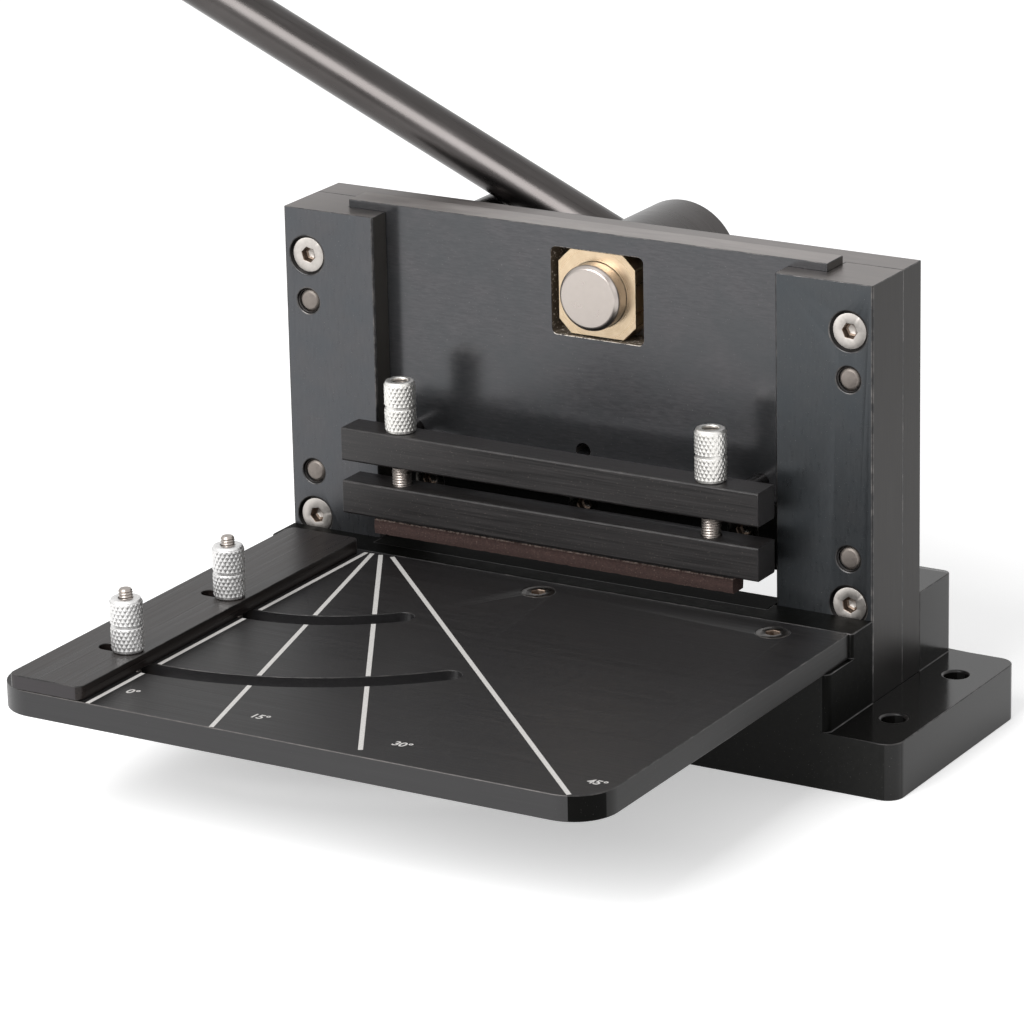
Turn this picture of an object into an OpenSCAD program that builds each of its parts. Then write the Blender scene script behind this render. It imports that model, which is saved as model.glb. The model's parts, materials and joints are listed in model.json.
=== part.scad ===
// Bench guillotine shear for thin sheet metal.
// X runs left to right across the front, Y runs from the front to the back, Z is up.
// X = 0 is the middle, Y = 0 the front face of the uprights, Z = 0 the underside.

/* [Base and bed] */
// Width of each bolting lug outside the frame
lug_w = 25; // [21:0.5:34]
// Depth of the base ahead of the uprights' front face
base_front = 32.7; // [31:0.1:36]
// Depth of the ears behind the back plate
ear_d = 25; // [18:0.5:34]
// Thickness of the base plate and its lugs
base_t = 20; // [16:0.5:22]
// Corner radius of the lugs
base_r = 6; // [3:0.5:14]
// Height of the working surface above the bench
bed_h = 49.2; // [47:0.1:52]
// Depth of the bed strip between the table and the uprights
bed_strip = 14.6; // [12:0.1:15.2]
// Width of each ear
ear_w = 36; // [28:0.5:36]
// Height of the ears' tops above the bench
ear_h = 48.4; // [40:0.1:56]
// Radius of the bed's and ears' upright corners
bed_r = 3; // [1:0.5:5]
// Radius of the corners where the bed strip meets the table
strip_r = 1; // [0.6:0.1:2.5]
// Diameter of the lug holes
lug_hole_d = 8.4; // [6:0.1:9.5]
// Distance of the lug holes from the ends of the base
lug_hole_in = 12.5; // [10:0.1:13.5]
// Distance between the two holes of one lug
lug_pitch = 47.3; // [40:0.1:56]
// Distance of the front lug holes behind the base's front edge
lug_inset = 23.5; // [16:0.5:28]

/* [Frame] */
// Height of the gibs and back plate above the lever's axis
frame_over = 25.1; // [24:0.1:32]
// Clear width between the gibs' two lips
throat_w = 156.4; // [140:0.2:170]
// Overlap of each lip over the ram's edge
lip_lap = 15.1; // [12:0.1:18]
// Width of each gib outside the ram
gib_wall = 21.2; // [20:0.1:26]
// Depth of the gibs' inner lips, which hold the ram from the front
lip_t = 8.9; // [7:0.1:9.6]
// Depth of the back plate's seat, which reaches in between the gibs
seat_t = 2; // [1:0.1:4]
// Depth of the back plate behind the gibs
back_t = 13.3; // [12:0.1:18]
// Height of the window that lets cut pieces drop behind the blades
chute_h = 42; // [38:0.5:44]
// How much narrower than the throat the window is at each side
chute_in = 0.6; // [0.4:0.1:2]
// Distance of the upper gib screws below the gibs' tops
screw_drop = 16.7; // [12:0.1:20]
// Height of the lower gib screws above the working surface
screw_rise = 3.9; // [2:0.1:8]
// Distance from a gib screw to the dowel beside it
dowel_step = 16.5; // [14:0.1:20]
// Distance of the gib screws from the outer sides
screw_inset = 9.1; // [8.6:0.1:10]
// Diameter of the gib dowels
dowel_d = 7.94; // [5:0.01:9]

/* [Ram and blades] */
// Thickness of the ram plate
ram_t = 11.1; // [10.6:0.1:12]
// Height of the ram's top above the gibs, with the blade up
ram_over = 2.8; // [1:0.1:6]
// Height of the ram's lower edge above the cutting edge's high end
ram_clear = 0.6; // [0.2:0.1:2]
// Gap between the blades' ends and the gibs
blade_gap = 0.7; // [0.5:0.1:2]
// Thickness of the lower blade
low_blade_t = 12.7; // [10:0.1:13.6]
// Height of the lower blade
low_blade_h = 25; // [22:0.5:27]
// Thickness of the upper blade
up_blade_t = 6.35; // [5:0.05:7]
// Height of the upper blade at its left end
up_blade_h = 28; // [26:0.1:28.2]
// Height of the cutting edge's left end above the bed, with the blade up
blade_open = 4.8; // [4.7:0.1:5.2]
// How much higher the cutting edge is at its right end
rake = 4.9; // [2:0.1:5]
// Depth of the upper blade's face ahead of the ram's face
blade_proud = 1.9; // [1:0.1:2.4]
// Distance of the outer blade screws from the blades' ends
blade_screw_in = 15.5; // [12:0.1:25]
// Gap between the two blades as they pass
shear_gap = 0.1; // [0.05:0.01:0.15]
// Diameter of the small hole through the ram
ram_hole_d = 5.5; // [3:0.1:8]
// Distance of the small hole to the left of the middle
ram_hole_x = 1; // [0:0.1:5]
// Height of the small hole above the ram's lower edge
ram_hole_up = 30; // [28:0.1:34]

/* [Drive] */
// Height of the lever's axis above the bench
axis_h = 140; // [136:0.1:150]
// Throw of the eccentric pin
throw = 7.126; // [6.8:0.01:7.2]
// Angle of the pin above the horizontal with the blade up
pin_angle = 51; // [48:0.5:54]
// Diameter of the eccentric pin
pin_d = 23.2; // [20:0.1:24]
// Depth of the pin's end ahead of the ram's face
pin_proud = 4.9; // [2:0.1:6]
// Size of the chamfer on the pin's end
pin_cut = 1.3; // [0.5:0.1:2]
// Rim of the journal outside the pin
journal_rim = 0.32; // [0.2:0.02:2]
// Lip of the shaft's front flange outside the journal
flange_lip = 1.45; // [1:0.05:2]
// Thickness of the shaft's front flange
flange_t = 3; // [2:0.1:4]
// Rim of the bushing outside the flange's pocket
bushing_rim = 1.4; // [1:0.1:3]
// Diameter of the shaft's tail inside the hub
tail_d = 25.4; // [20:0.1:28]
// Wall of the slide block beside the pin
block_wall = 3.4; // [3:0.1:4]
// Thickness of the slide block
block_t = 9.5; // [8:0.1:10]
// Size of the slide block's corner chamfers
block_cut = 4.8; // [2:0.1:5]
// Room over and under the slide block
block_play = 0.4; // [0.35:0.01:0.5]
// Room to the left of the slide block with the blade up
window_left = 1.9; // [1:0.1:3]
// Room to the right of the slide block when it's furthest right
window_right = 1.2; // [0.6:0.1:3]
// Radius of the window's corners
window_r = 2; // [1:0.1:3]
// Diameter of the hub
hub_d = 43.8; // [40:0.1:48]
// Length of the hub
hub_l = 43.5; // [38:0.1:48]
// Wall of the hub past the tube's inner end
hub_floor = 5; // [4:0.1:8]
// Thickness of the thrust washer
washer_t = 1.5; // [1:0.1:3]
// Diameter of the pin across the hub
hub_pin_d = 6; // [4:0.1:8]
// Diameter of the screw in the hub's rear end
hub_screw_d = 7.9; // [6:0.1:8.4]
// Diameter of the lever tube
lever_d = 17.46; // [16:0.02:20]
// Wall of the lever tube
lever_wall = 2.4; // [1.6:0.1:4]
// Length of the lever from its axis to its end
lever_l = 380; // [300:5:460]
// Angle of the lever above the horizontal at rest
lever_angle = 24.05; // [23:0.05:28]
// Distance from the hub's rear end to the lever's middle plane
lever_back = 17.5; // [14:0.1:18]
// Depth of the plug inside the lever
plug_in = 14; // [8:0.5:30]
// Length of the plug outside the lever
plug_out = 4; // [2:0.1:6]
// Diameter of the stop pin under the lever
stop_d = 12.7; // [8:0.1:14]
// Distance of the stop pin below the back plate's top
stop_drop = 11.8; // [9:0.1:15]

/* [Hold-down] */
// How far each end of the clamp bars runs past the throat
bar_lap = 3.3; // [0:0.1:8]
// Width of the square clamp bars
bar_w = 11.9; // [10:0.1:12.4]
// Gap between the bars and the uprights' front face
bar_gap = 7; // [5:0.1:9]
// Gap between the pad and the bed with the hold-down up
pad_open = 7.2; // [7:0.1:9]
// Height from the lower bar to the upper bar
bar_step = 7.2; // [6:0.1:10]
// Thickness of the pad under the lower bar
pad_t = 7; // [6:0.1:8]
// Depth of the pad, front to back
pad_d = 7.5; // [5:0.1:8.5]
// Distance of the pad behind the lower bar's front face
pad_back = 2.7; // [1:0.1:4]
// How much shorter than the lower bar the pad is at each end
pad_in = 11; // [6:0.1:20]
// Distance of the clamp studs inside the throat
stud_in = 17.5; // [16.5:0.1:30]
// Distance from a clamp stud out to the stand-off beside it
standoff_step = 7.3; // [7:0.1:9]
// Diameter of the clamp studs
stud_d = 7; // [5:0.05:7.2]
// Thickness of the lower bar under the studs
stud_floor = 2; // [1:0.1:4]
// Diameter of the stand-offs
standoff_d = 6.35; // [5:0.05:6.6]

/* [Table] */
// Distance of the table's front edge ahead of the uprights
table_front = 185.4; // [170:0.2:210]
// Thickness of the table
table_t = 8.8; // [8:0.1:10]
// Radius of the table's front corners
table_r = 15; // [4:0.5:18]
// Distance of the table's sides inside the frame's sides
table_in = 1.4; // [0:0.1:2]
// Distance of the outer table screws from the frame's sides
table_screw_side = 24.5; // [16:0.5:34]
// Distance of the table screws ahead of the bed strip
table_screw_y = 10.2; // [8:0.1:11]

/* [Fence] */
// Width of the fence
fence_w = 28.7; // [26:0.1:34]
// Thickness of the fence
fence_t = 4.8; // [4:0.1:5]
// Distance of the fence's working edge inside the throat, at 0 degrees
fence_in = 1.7; // [0:0.1:2.5]
// Radius of the fence's corners
fence_r = 3; // [1:0.1:5]
// Distance of the fence's swing centre ahead of the uprights
swing_y = 22; // [20:0.5:26]
// Distance of the fence's rear end ahead of the uprights
fence_rear = 16.5; // [16:0.1:24]
// Distance of the fence's studs from its working edge
fence_stud_in = 6.5; // [6:0.1:9]
// Distance from the swing centre back to the rear stud
rear_stud = 66.6; // [60:0.1:74]
// Distance from the swing centre back to the front stud
front_stud = 126.8; // [116:0.1:134]
// Width of the table's arc slots
arc_w = 8.9; // [8.6:0.1:11]
// Swing that the rear arc slot leaves room for
rear_arc = 52; // [48:0.5:54]
// Swing that the front arc slot leaves room for
front_arc = 49.4; // [48:0.1:54]
// Diameter of the fence's studs
fence_stud_d = 4.8; // [4:0.05:5]
// Thickness of the fence studs' heads under the table
stud_head_t = 3; // [2:0.1:5]
// How far the fence studs' heads lap the slot at each side
stud_head_lap = 2.5; // [1.5:0.1:4]
// How far the fence's studs stand above their nuts
stud_out = 3; // [1:0.1:6]
// Room beside a stud in the fence's cross slots
cross_room = 0.6; // [0.4:0.1:1]
// Distance of the cross slots' closed ends from the working edge
cross_l = 17.5; // [14:0.1:22]

/* [Knurled nuts] */
// Diameter over the knurls
knob_d = 11.1; // [10.6:0.1:12]
// Length of each nut
knob_l = 18.45; // [17:0.05:22]
// Width of the groove between the two knurled bands
knob_groove = 1.4; // [1:0.1:2]
// Depth of the groove and of the plain bands below the knurls
knob_relief = 0.4; // [0.2:0.05:0.6]
// Height of the plain bands at the foot and the top
knob_band = 1.2; // [0.8:0.1:2.5]
// Size of the nuts' chamfers
knob_cut = 0.35; // [0.2:0.05:0.5]

/* [Fasteners] */
// Diameter of the gib screws
gib_screw_d = 6.35; // [5:0.05:7]
// Head diameter of the gib screws
gib_head_d = 12.3; // [11:0.1:13]
// Depth that the gib screws' heads lie below the face
head_sink = 0.95; // [0.3:0.05:1.2]
// Depth that the dowels lie below the face
dowel_sink = 0.65; // [0.3:0.05:1]
// Size of the chamfer round a dowel hole's mouth
dowel_mouth = 0.75; // [0.3:0.05:1]
// Depth of the gib screws and dowels in the back plate
frame_bite = 9; // [7:0.1:10.5]
// Hexagon of the gib screws
gib_key = 4.6; // [3:0.1:5]
// Diameter of the table and blade screws
small_screw_d = 6.35; // [5:0.05:6.5]
// Head diameter of the table and blade screws
small_head_d = 11.5; // [10:0.1:12]
// Depth that the table and blade screws' heads lie below the face
small_sink = 0.1; // [0.05:0.05:0.3]
// Depth of the table screws in the base
table_bite = 11; // [8:0.5:16]
// Depth of the lower blade's screws in the base
blade_bite = 10; // [7:0.5:12]
// Hexagon of the table and blade screws
small_key = 4.5; // [3:0.1:5]
// Diameter of the bolts that hold the frame down
bolt_d = 7.9; // [6:0.1:8.4]
// Head diameter of the bolts that hold the frame down
bolt_head_d = 12; // [10:0.1:13]
// Depth that the frame bolts' heads lie below the base's faces
bolt_sink = 1; // [0.5:0.1:2]
// Depth of the ear bolts in the back plate
ear_bite = 10; // [8:0.1:10.5]
// Hexagon of the frame bolts
bolt_key = 6; // [4:0.1:7]
// Diameter of the screws that hold the stand-offs
bar_screw_d = 4; // [3:0.1:4.4]
// Head diameter of the screws that hold the stand-offs
bar_head_d = 7; // [6:0.1:8]
// Depth of the screws in the stand-offs
bar_bite = 9; // [6:0.5:12]

/* [Clearances] */
// Gap round a pin, screw or stud in its hole
fit = 0.05; // [0.03:0.01:0.08]
// Gap between sliding flat faces
slip = 0.1; // [0.05:0.01:0.15]
// Gap that keeps round moving pieces off their neighbours
room = 0.3; // [0.25:0.05:0.4]
// Gap all round the head of a countersunk bolt
head_room = 0.5; // [0.3:0.1:0.8]
// Free length at the ends of blind holes
hole_end = 0.6; // [0.4:0.1:1]
// Size of the broken edges on bars and gibs
edge_cut = 0.5; // [0.3:0.1:0.8]
// Size of the chamfers on the ends of pins and the hub
end_cut = 1; // [0.5:0.1:1.5]

/* [Hidden] */
$fn = 96;
over = 1;
lip_x = throat_w / 2;
groove_x = lip_x + lip_lap;
side_x = groove_x + gib_wall;
end_x = side_x + lug_w;
frame_h = axis_h + frame_over;
gib_t = lip_t + ram_t + 2 * slip + seat_t;
ram_y = lip_t + slip;
ram_back = ram_y + ram_t;
seat_y = ram_back + slip;
frame_back = gib_t + back_t;
base_back = frame_back + ear_d;
screw_top = frame_h - screw_drop;
screw_low = bed_h + screw_rise;
chute_x = lip_x - chute_in;
ledge_h = bed_h - table_t;

blade_l = throat_w - 2 * blade_gap;
blade_screw_x = blade_l / 2 - blade_screw_in;
edge_left = bed_h + blade_open;
edge_right = edge_left + rake;
up_blade_top = edge_left + up_blade_h;
up_blade_y = ram_y - blade_proud;
up_blade_back = up_blade_y + up_blade_t;
cut_y = up_blade_y - shear_gap;
low_blade_y = cut_y - low_blade_t;
ram_x = groove_x - slip;
ram_low = edge_right + ram_clear;
ram_top = frame_h + ram_over;
up_screw_h = (edge_right + up_blade_top) / 2 + end_cut / 2;

pin_x = throw * cos(pin_angle);
pin_h = axis_h + throw * sin(pin_angle);
block_w = pin_d + 2 * block_wall;
journal_d = 2 * (throw + journal_rim) + pin_d;
flange_d = journal_d + 2 * flange_lip;
bushing_d = flange_d + 2 * room + 2 * bushing_rim;
journal_y = seat_y + slip;
hub_y = frame_back + slip + washer_t;
hub_back = hub_y + hub_l;
lever_y = hub_back - lever_back;
lever_in = hub_d / 2 - hub_floor;
tail_back = lever_y - lever_d / 2 - over;
hub_pin_y = (hub_y + tail_back) / 2;
stop_h = frame_h - stop_drop;
stop_x = (stop_h - axis_h + ((lever_d + stop_d) / 2 + room) / cos(lever_angle))
    / tan(lever_angle);
stop_bite = ear_bite;

stud_x = lip_x - stud_in;
standoff_x = stud_x + standoff_step;
bar_l = throat_w + 2 * bar_lap;
pad_l = bar_l - 2 * pad_in;
bar_y = -bar_gap - bar_w;
bar_mid_y = -bar_gap - bar_w / 2;
low_bar_h = bed_h + pad_open + pad_t;
up_bar_h = low_bar_h + bar_w + bar_step;
up_bar_mid = up_bar_h + bar_w / 2;
knob_h = up_bar_h + bar_w;
spigot_d = 0.7 * standoff_d;
spigot_l = 0.7 * bar_w;

table_x = side_x - table_in;
table_back = -bed_strip - slip;
table_screw_x = side_x - table_screw_side;
fence_x = lip_x - fence_in;
fence_top = bed_h + slip + fence_t;
fence_stud_x = -fence_x - fence_stud_in;
rear_r = norm([fence_stud_in, rear_stud]);
front_r = norm([fence_stud_in, front_stud]);
cross_w = fence_stud_d + 2 * cross_room;

gib_screw_l = gib_t + frame_bite - head_sink;
table_screw_l = table_t + table_bite;
low_screw_l = low_blade_t + blade_bite;
up_screw_l = ram_back - up_blade_y - over;
bolt_head_h = bolt_d;
frame_bolt_l = base_t - bolt_head_h - bolt_sink + 2 * bolt_d;
ear_bolt_l = ear_d - bolt_head_h - bolt_sink + ear_bite;
bar_head_h = bar_screw_d;
bar_screw_y = ram_back - bar_head_h - bolt_sink;
bar_screw_l = bar_screw_y - ram_y + bar_bite;

// Shared shapes

// A cylinder along +Y from y0 to y1 at x, z
module rod(x, z, y0, y1, d) {
    translate([x, y0, z]) rotate([-90, 0, 0]) cylinder(h = y1 - y0, d = d);
}

// Stands its children's +Z towards the front
module facing_front() {
    rotate([90, 0, 0]) children();
}

// Stands its children's +Z towards the back
module facing_back() {
    rotate([-90, 0, 0]) children();
}

// A rectangle with round corners of r_low at its low Y end and r_high at its high Y end
module plan(x0, x1, y0, y1, r_low, r_high) {
    translate([x0, y0 + r_low]) square([x1 - x0, y1 - y0 - r_low - r_high]);
    if (r_low > 0) {
        translate([x0 + r_low, y0]) square([x1 - x0 - 2 * r_low, r_low]);
        for (x = [x0 + r_low, x1 - r_low]) translate([x, y0 + r_low]) circle(r_low);
    }
    if (r_high > 0) {
        translate([x0 + r_high, y1 - r_high]) square([x1 - x0 - 2 * r_high, r_high]);
        for (x = [x0 + r_high, x1 - r_high]) translate([x, y1 - r_high]) circle(r_high);
    }
}

// A cone that widens at 45 degrees from diameter d at z = 0
module flare(d, h) {
    cylinder(h = h, d1 = d, d2 = d + 2 * h);
}

// The hexagon of a socket screw, its mouth at z = 0
module key_socket(key) {
    translate([0, 0, -0.6 * key]) cylinder(h = key, d = key / cos(30), $fn = 6);
}

// A flat-head socket screw, its head's face at z = 0 and its point down
module flat_screw(d, head_d, len, key) {
    head_h = (head_d - d) / 2;
    difference() {
        union() {
            translate([0, 0, -head_h]) flare(d, head_h);
            translate([0, 0, -len]) cylinder(h = len - head_h, d = d);
        }
        key_socket(key);
    }
}

// The hole for a flat-head screw whose face lies sink below the surface
module flat_screw_hole(d, head_d, len, sink) {
    head_h = (head_d - d) / 2 + fit;
    translate([0, 0, -head_h]) flare(d + 2 * fit, head_h + sink + over);
    translate([0, 0, -len - hole_end]) cylinder(h = len + hole_end, d = d + 2 * fit);
}

// A socket cap screw, its head's underside at z = 0 and its point down
module cap_screw(d, head_d, head_h, len, key) {
    difference() {
        union() {
            cylinder(h = head_h, d = head_d);
            translate([0, 0, -len]) cylinder(h = len, d = d);
        }
        translate([0, 0, head_h]) key_socket(key);
    }
}

// The hole for a cap screw, counterbored from its head's underside up to the height top
module cap_screw_hole(d, head_d, top, len) {
    cylinder(h = top, d = head_d + 2 * head_room);
    translate([0, 0, -len - hole_end]) cylinder(h = len + 2 * hole_end, d = d + 2 * fit);
}

// A round nut with two knurled bands, standing on z = 0
module knurled_nut(bore) {
    r = knob_d / 2;
    r_plain = r - knob_relief;
    g0 = (knob_l - knob_groove) / 2;
    g1 = g0 + knob_groove;
    difference() {
        rotate_extrude() polygon([
            [0, 0], [r_plain - knob_cut, 0], [r_plain, knob_cut], [r_plain, knob_band],
            [r, knob_band], [r, g0], [r_plain, g0], [r_plain, g1], [r, g1],
            [r, knob_l - knob_band], [r_plain, knob_l - knob_band],
            [r_plain, knob_l - knob_cut], [r_plain - knob_cut, knob_l], [0, knob_l]]);
        translate([0, 0, -over]) cylinder(h = knob_l + 2 * over, d = bore);
        translate([0, 0, knob_l - knob_cut]) flare(bore, knob_cut + over);
    }
}

// A slot that follows a circle round the fence's swing centre
module arc_slot(r, start, sweep) {
    translate([-fence_x, -swing_y, ledge_h - over]) {
        rotate([0, 0, start]) rotate_extrude(angle = sweep)
            translate([r - arc_w / 2, 0]) square([arc_w, table_t + 2 * over]);
        for (a = [start, start + sweep])
            rotate([0, 0, a]) translate([r, 0, 0]) cylinder(h = table_t + 2 * over, d = arc_w);
    }
}

// Places that several pieces share

// Gib screw places, each child's +Z towards the front
module at_gib_screws() {
    for (s = [-1, 1], h = [screw_low, screw_top])
        translate([s * (side_x - screw_inset), head_sink, h]) facing_front() children();
}

module gib_screw_holes() {
    at_gib_screws() flat_screw_hole(gib_screw_d, gib_head_d, gib_screw_l, head_sink);
}

// Gib dowel places, each child's +Z towards the back
module at_gib_dowels() {
    for (s = [-1, 1], h = [screw_low + dowel_step, screw_top - dowel_step])
        translate([s * (side_x - screw_inset), 0, h]) facing_back() children();
}

// Dowel holes from the front face to their blind ends, with chamfered mouths
module gib_dowel_holes() {
    at_gib_dowels() {
        translate([0, 0, -over])
            cylinder(h = gib_t + frame_bite + hole_end + over, d = dowel_d + 2 * fit);
        translate([0, 0, dowel_mouth]) rotate([180, 0, 0])
            flare(dowel_d + 2 * fit, dowel_mouth + over);
    }
}

// Bolts into the gibs from below, each child's +Z down
module at_frame_bolts() {
    for (s = [-1, 1])
        translate([s * (side_x + groove_x) / 2, gib_t / 2, bolt_head_h + bolt_sink])
            rotate([180, 0, 0]) children();
}

// Bolts through the ears into the back plate, each child's +Z towards the back
module at_ear_bolts() {
    for (s = [-1, 1])
        translate([s * (side_x - ear_w / 2), base_back - bolt_head_h - bolt_sink,
            (base_t + ear_h) / 2]) facing_back() children();
}

module at_table_screws() {
    for (x = [-table_screw_x, 0, table_screw_x])
        translate([x, -bed_strip - table_screw_y, bed_h - small_sink]) children();
}

module table_screw_holes() {
    at_table_screws() flat_screw_hole(small_screw_d, small_head_d, table_screw_l, small_sink);
}

module at_lower_blade_screws() {
    for (x = [-blade_screw_x, 0, blade_screw_x])
        translate([x, cut_y - small_sink, bed_h - low_blade_h / 2]) facing_back() children();
}

module lower_blade_screw_holes() {
    at_lower_blade_screws()
        flat_screw_hole(small_screw_d, small_head_d, low_screw_l, small_sink);
}

module at_upper_blade_screws() {
    for (x = [-blade_screw_x, 0, blade_screw_x])
        translate([x, up_blade_y + small_sink, up_screw_h]) facing_front() children();
}

module upper_blade_screw_holes() {
    at_upper_blade_screws()
        flat_screw_hole(small_screw_d, small_head_d, up_screw_l, small_sink);
}

// Screws from the ram's back into the stand-offs, each child's +Z towards the back
module at_bar_screws() {
    for (s = [-1, 1])
        translate([s * standoff_x, bar_screw_y, up_bar_mid]) facing_back() children();
}

module at_fence_studs() {
    for (d = [rear_stud, front_stud]) translate([fence_stud_x, -swing_y - d, 0]) children();
}

// The lever's direction from its axis, as the children's +Z
module along_lever() {
    translate([0, lever_y, axis_h]) rotate([0, lever_angle - 90, 0]) children();
}

// Across the hub, square to the lever
module along_hub_pin() {
    translate([0, hub_pin_y, axis_h]) rotate([0, lever_angle, 0]) children();
}

// Fixed pieces

module base() {
    color("#1d1d1e") difference() {
        union() {
            linear_extrude(base_t) plan(-end_x, end_x, -base_front, base_back, base_r, base_r);
            linear_extrude(ledge_h) plan(-side_x, side_x, -base_front, 0, bed_r, 0);
            linear_extrude(bed_h) plan(-side_x, side_x, -bed_strip, 0, strip_r, 0);
            for (s = [0, 1]) mirror([s, 0, 0]) linear_extrude(ear_h)
                plan(side_x - ear_w, side_x, frame_back, base_back, 0, bed_r);
        }
        translate([-blade_l / 2 - fit, low_blade_y, bed_h - low_blade_h])
            cube([blade_l + 2 * fit, low_blade_t, low_blade_h + over]);
        for (s = [-1, 1], y = [0, lug_pitch])
            translate([s * (end_x - lug_hole_in), lug_inset - base_front + y, 0]) {
                translate([0, 0, -over]) cylinder(h = base_t + 2 * over, d = lug_hole_d);
                translate([0, 0, base_t - edge_cut]) flare(lug_hole_d, edge_cut + over);
            }
        table_screw_holes();
        lower_blade_screw_holes();
        at_frame_bolts()
            cap_screw_hole(bolt_d, bolt_head_d, bolt_head_h + bolt_sink + over, base_t);
        at_ear_bolts()
            cap_screw_hole(bolt_d, bolt_head_d, bolt_head_h + bolt_sink + over, ear_d);
    }
}

module table() {
    color("#262526") difference() {
        translate([0, 0, ledge_h]) linear_extrude(table_t)
            plan(-table_x, table_x, -table_front, table_back, table_r, strip_r);
        arc_slot(rear_r, rest_angle(rear_stud) - 2, rear_arc + 2);
        arc_slot(front_r, rest_angle(front_stud) - 2, front_arc + 2);
        table_screw_holes();
    }
}

// Direction from the swing centre to a stud with the fence at 0 degrees
function rest_angle(d) = atan2(-d, -fence_stud_in);

module table_screws() {
    color("#3a3a3c") at_table_screws()
        flat_screw(small_screw_d, small_head_d, table_screw_l, small_key);
}

module lower_blade() {
    color("#8d8f92") difference() {
        translate([-blade_l / 2, low_blade_y, bed_h - low_blade_h])
            cube([blade_l, low_blade_t, low_blade_h]);
        lower_blade_screw_holes();
    }
}

module lower_blade_screws() {
    color("#55565a") at_lower_blade_screws()
        flat_screw(small_screw_d, small_head_d, low_screw_l, small_key);
}

// The right-hand gib: a deep outer bar with a lip that laps the ram's edge
module gib() {
    difference() {
        translate([0, 0, base_t]) linear_extrude(frame_h - base_t) polygon([
            [lip_x, edge_cut], [lip_x + edge_cut, 0], [side_x - edge_cut, 0],
            [side_x, edge_cut], [side_x, gib_t], [groove_x, gib_t], [groove_x, lip_t],
            [lip_x, lip_t]]);
        gib_screw_holes();
        gib_dowel_holes();
        at_frame_bolts() cap_screw_hole(bolt_d, bolt_head_d, over, frame_bolt_l);
    }
}

module left_gib() {
    color("#1f2226") mirror([1, 0, 0]) gib();
}

module right_gib() {
    color("#1f2226") gib();
}

module back_plate() {
    color("#1c1e21") difference() {
        union() {
            translate([-side_x, gib_t, base_t]) cube([2 * side_x, back_t, frame_h - base_t]);
            translate([-ram_x, seat_y, base_t])
                cube([2 * ram_x, seat_t + over, frame_h - base_t]);
        }
        translate([-chute_x, seat_y - over, base_t - over])
            cube([2 * chute_x, frame_back - seat_y + 2 * over, chute_h + over]);
        rod(0, axis_h, seat_y - over, frame_back + over, bushing_d + 2 * fit);
        gib_screw_holes();
        gib_dowel_holes();
        rod(-stop_x, stop_h, frame_back - stop_bite - hole_end, frame_back + over,
            stop_d + 2 * fit);
        at_ear_bolts() cap_screw_hole(bolt_d, bolt_head_d, over, ear_bolt_l);
    }
}

module gib_screws() {
    color("#b9bbbd") at_gib_screws() flat_screw(gib_screw_d, gib_head_d, gib_screw_l, gib_key);
}

module gib_dowels() {
    r = dowel_d / 2;
    color("#a5a39f") at_gib_dowels() rotate_extrude() polygon([
        [0, dowel_sink], [r - end_cut, dowel_sink], [r, dowel_sink + end_cut],
        [r, gib_t + frame_bite], [0, gib_t + frame_bite]]);
}

module frame_bolts() {
    color("#2a2a2b") at_frame_bolts()
        cap_screw(bolt_d, bolt_head_d, bolt_head_h, frame_bolt_l, bolt_key);
}

module ear_bolts() {
    color("#2a2a2b") at_ear_bolts()
        cap_screw(bolt_d, bolt_head_d, bolt_head_h, ear_bolt_l, bolt_key);
}

module shaft_bushing() {
    color("#a5793a") difference() {
        rod(0, axis_h, seat_y, frame_back, bushing_d);
        rod(0, axis_h, seat_y - over, frame_back + over, journal_d + 2 * fit);
        rod(0, axis_h, seat_y - over, journal_y + flange_t + slip, flange_d + 2 * room);
    }
}

module lever_stop_pin() {
    r = stop_d / 2;
    l = stop_bite + lever_y + lever_d / 2 - frame_back;
    color("#2b2b2d") translate([-stop_x, frame_back - stop_bite, stop_h]) facing_back()
        rotate_extrude() polygon([[0, 0], [r, 0], [r, l - end_cut], [r - end_cut, l], [0, l]]);
}

// Pieces that ride on the ram

module ram() {
    window_x0 = pin_x - block_w / 2 - window_left;
    window_x1 = throw + block_w / 2 + window_right;
    half_h = block_w / 2 + block_play;
    color("#23272c") difference() {
        translate([-ram_x, ram_y, ram_low]) cube([2 * ram_x, ram_t, ram_top - ram_low]);
        translate([-blade_l / 2 - fit, ram_y - over, ram_low - over])
            cube([blade_l + 2 * fit, up_blade_back - ram_y + over, up_blade_top - ram_low + over]);
        translate([0, ram_back + over, 0]) facing_front() linear_extrude(ram_t + 2 * over)
            plan(window_x0, window_x1, pin_h - half_h, pin_h + half_h, window_r, window_r);
        rod(-ram_hole_x, ram_low + ram_hole_up, ram_y - over, ram_back + over, ram_hole_d);
        upper_blade_screw_holes();
        at_bar_screws() cap_screw_hole(bar_screw_d, bar_head_d,
            bar_head_h + bolt_sink + over, ram_t);
    }
}

module upper_blade() {
    color("#4b4d50") difference() {
        translate([0, up_blade_back, 0]) facing_front() linear_extrude(up_blade_t) polygon([
            [-blade_l / 2, edge_left], [blade_l / 2, edge_right],
            [blade_l / 2, up_blade_top - fit], [-blade_l / 2, up_blade_top - fit]]);
        upper_blade_screw_holes();
    }
}

module upper_blade_screws() {
    color("#3a3a3c") at_upper_blade_screws()
        flat_screw(small_screw_d, small_head_d, up_screw_l, small_key);
}

// A square bar across the front with its long edges just broken
module clamp_bar(h) {
    cut = edge_cut;
    translate([-bar_l / 2, 0, h]) rotate([90, 0, 90]) linear_extrude(bar_l) polygon([
        [bar_y + cut, 0], [-bar_gap - cut, 0], [-bar_gap, cut], [-bar_gap, bar_w - cut],
        [-bar_gap - cut, bar_w], [bar_y + cut, bar_w], [bar_y, bar_w - cut], [bar_y, cut]]);
}

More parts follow.
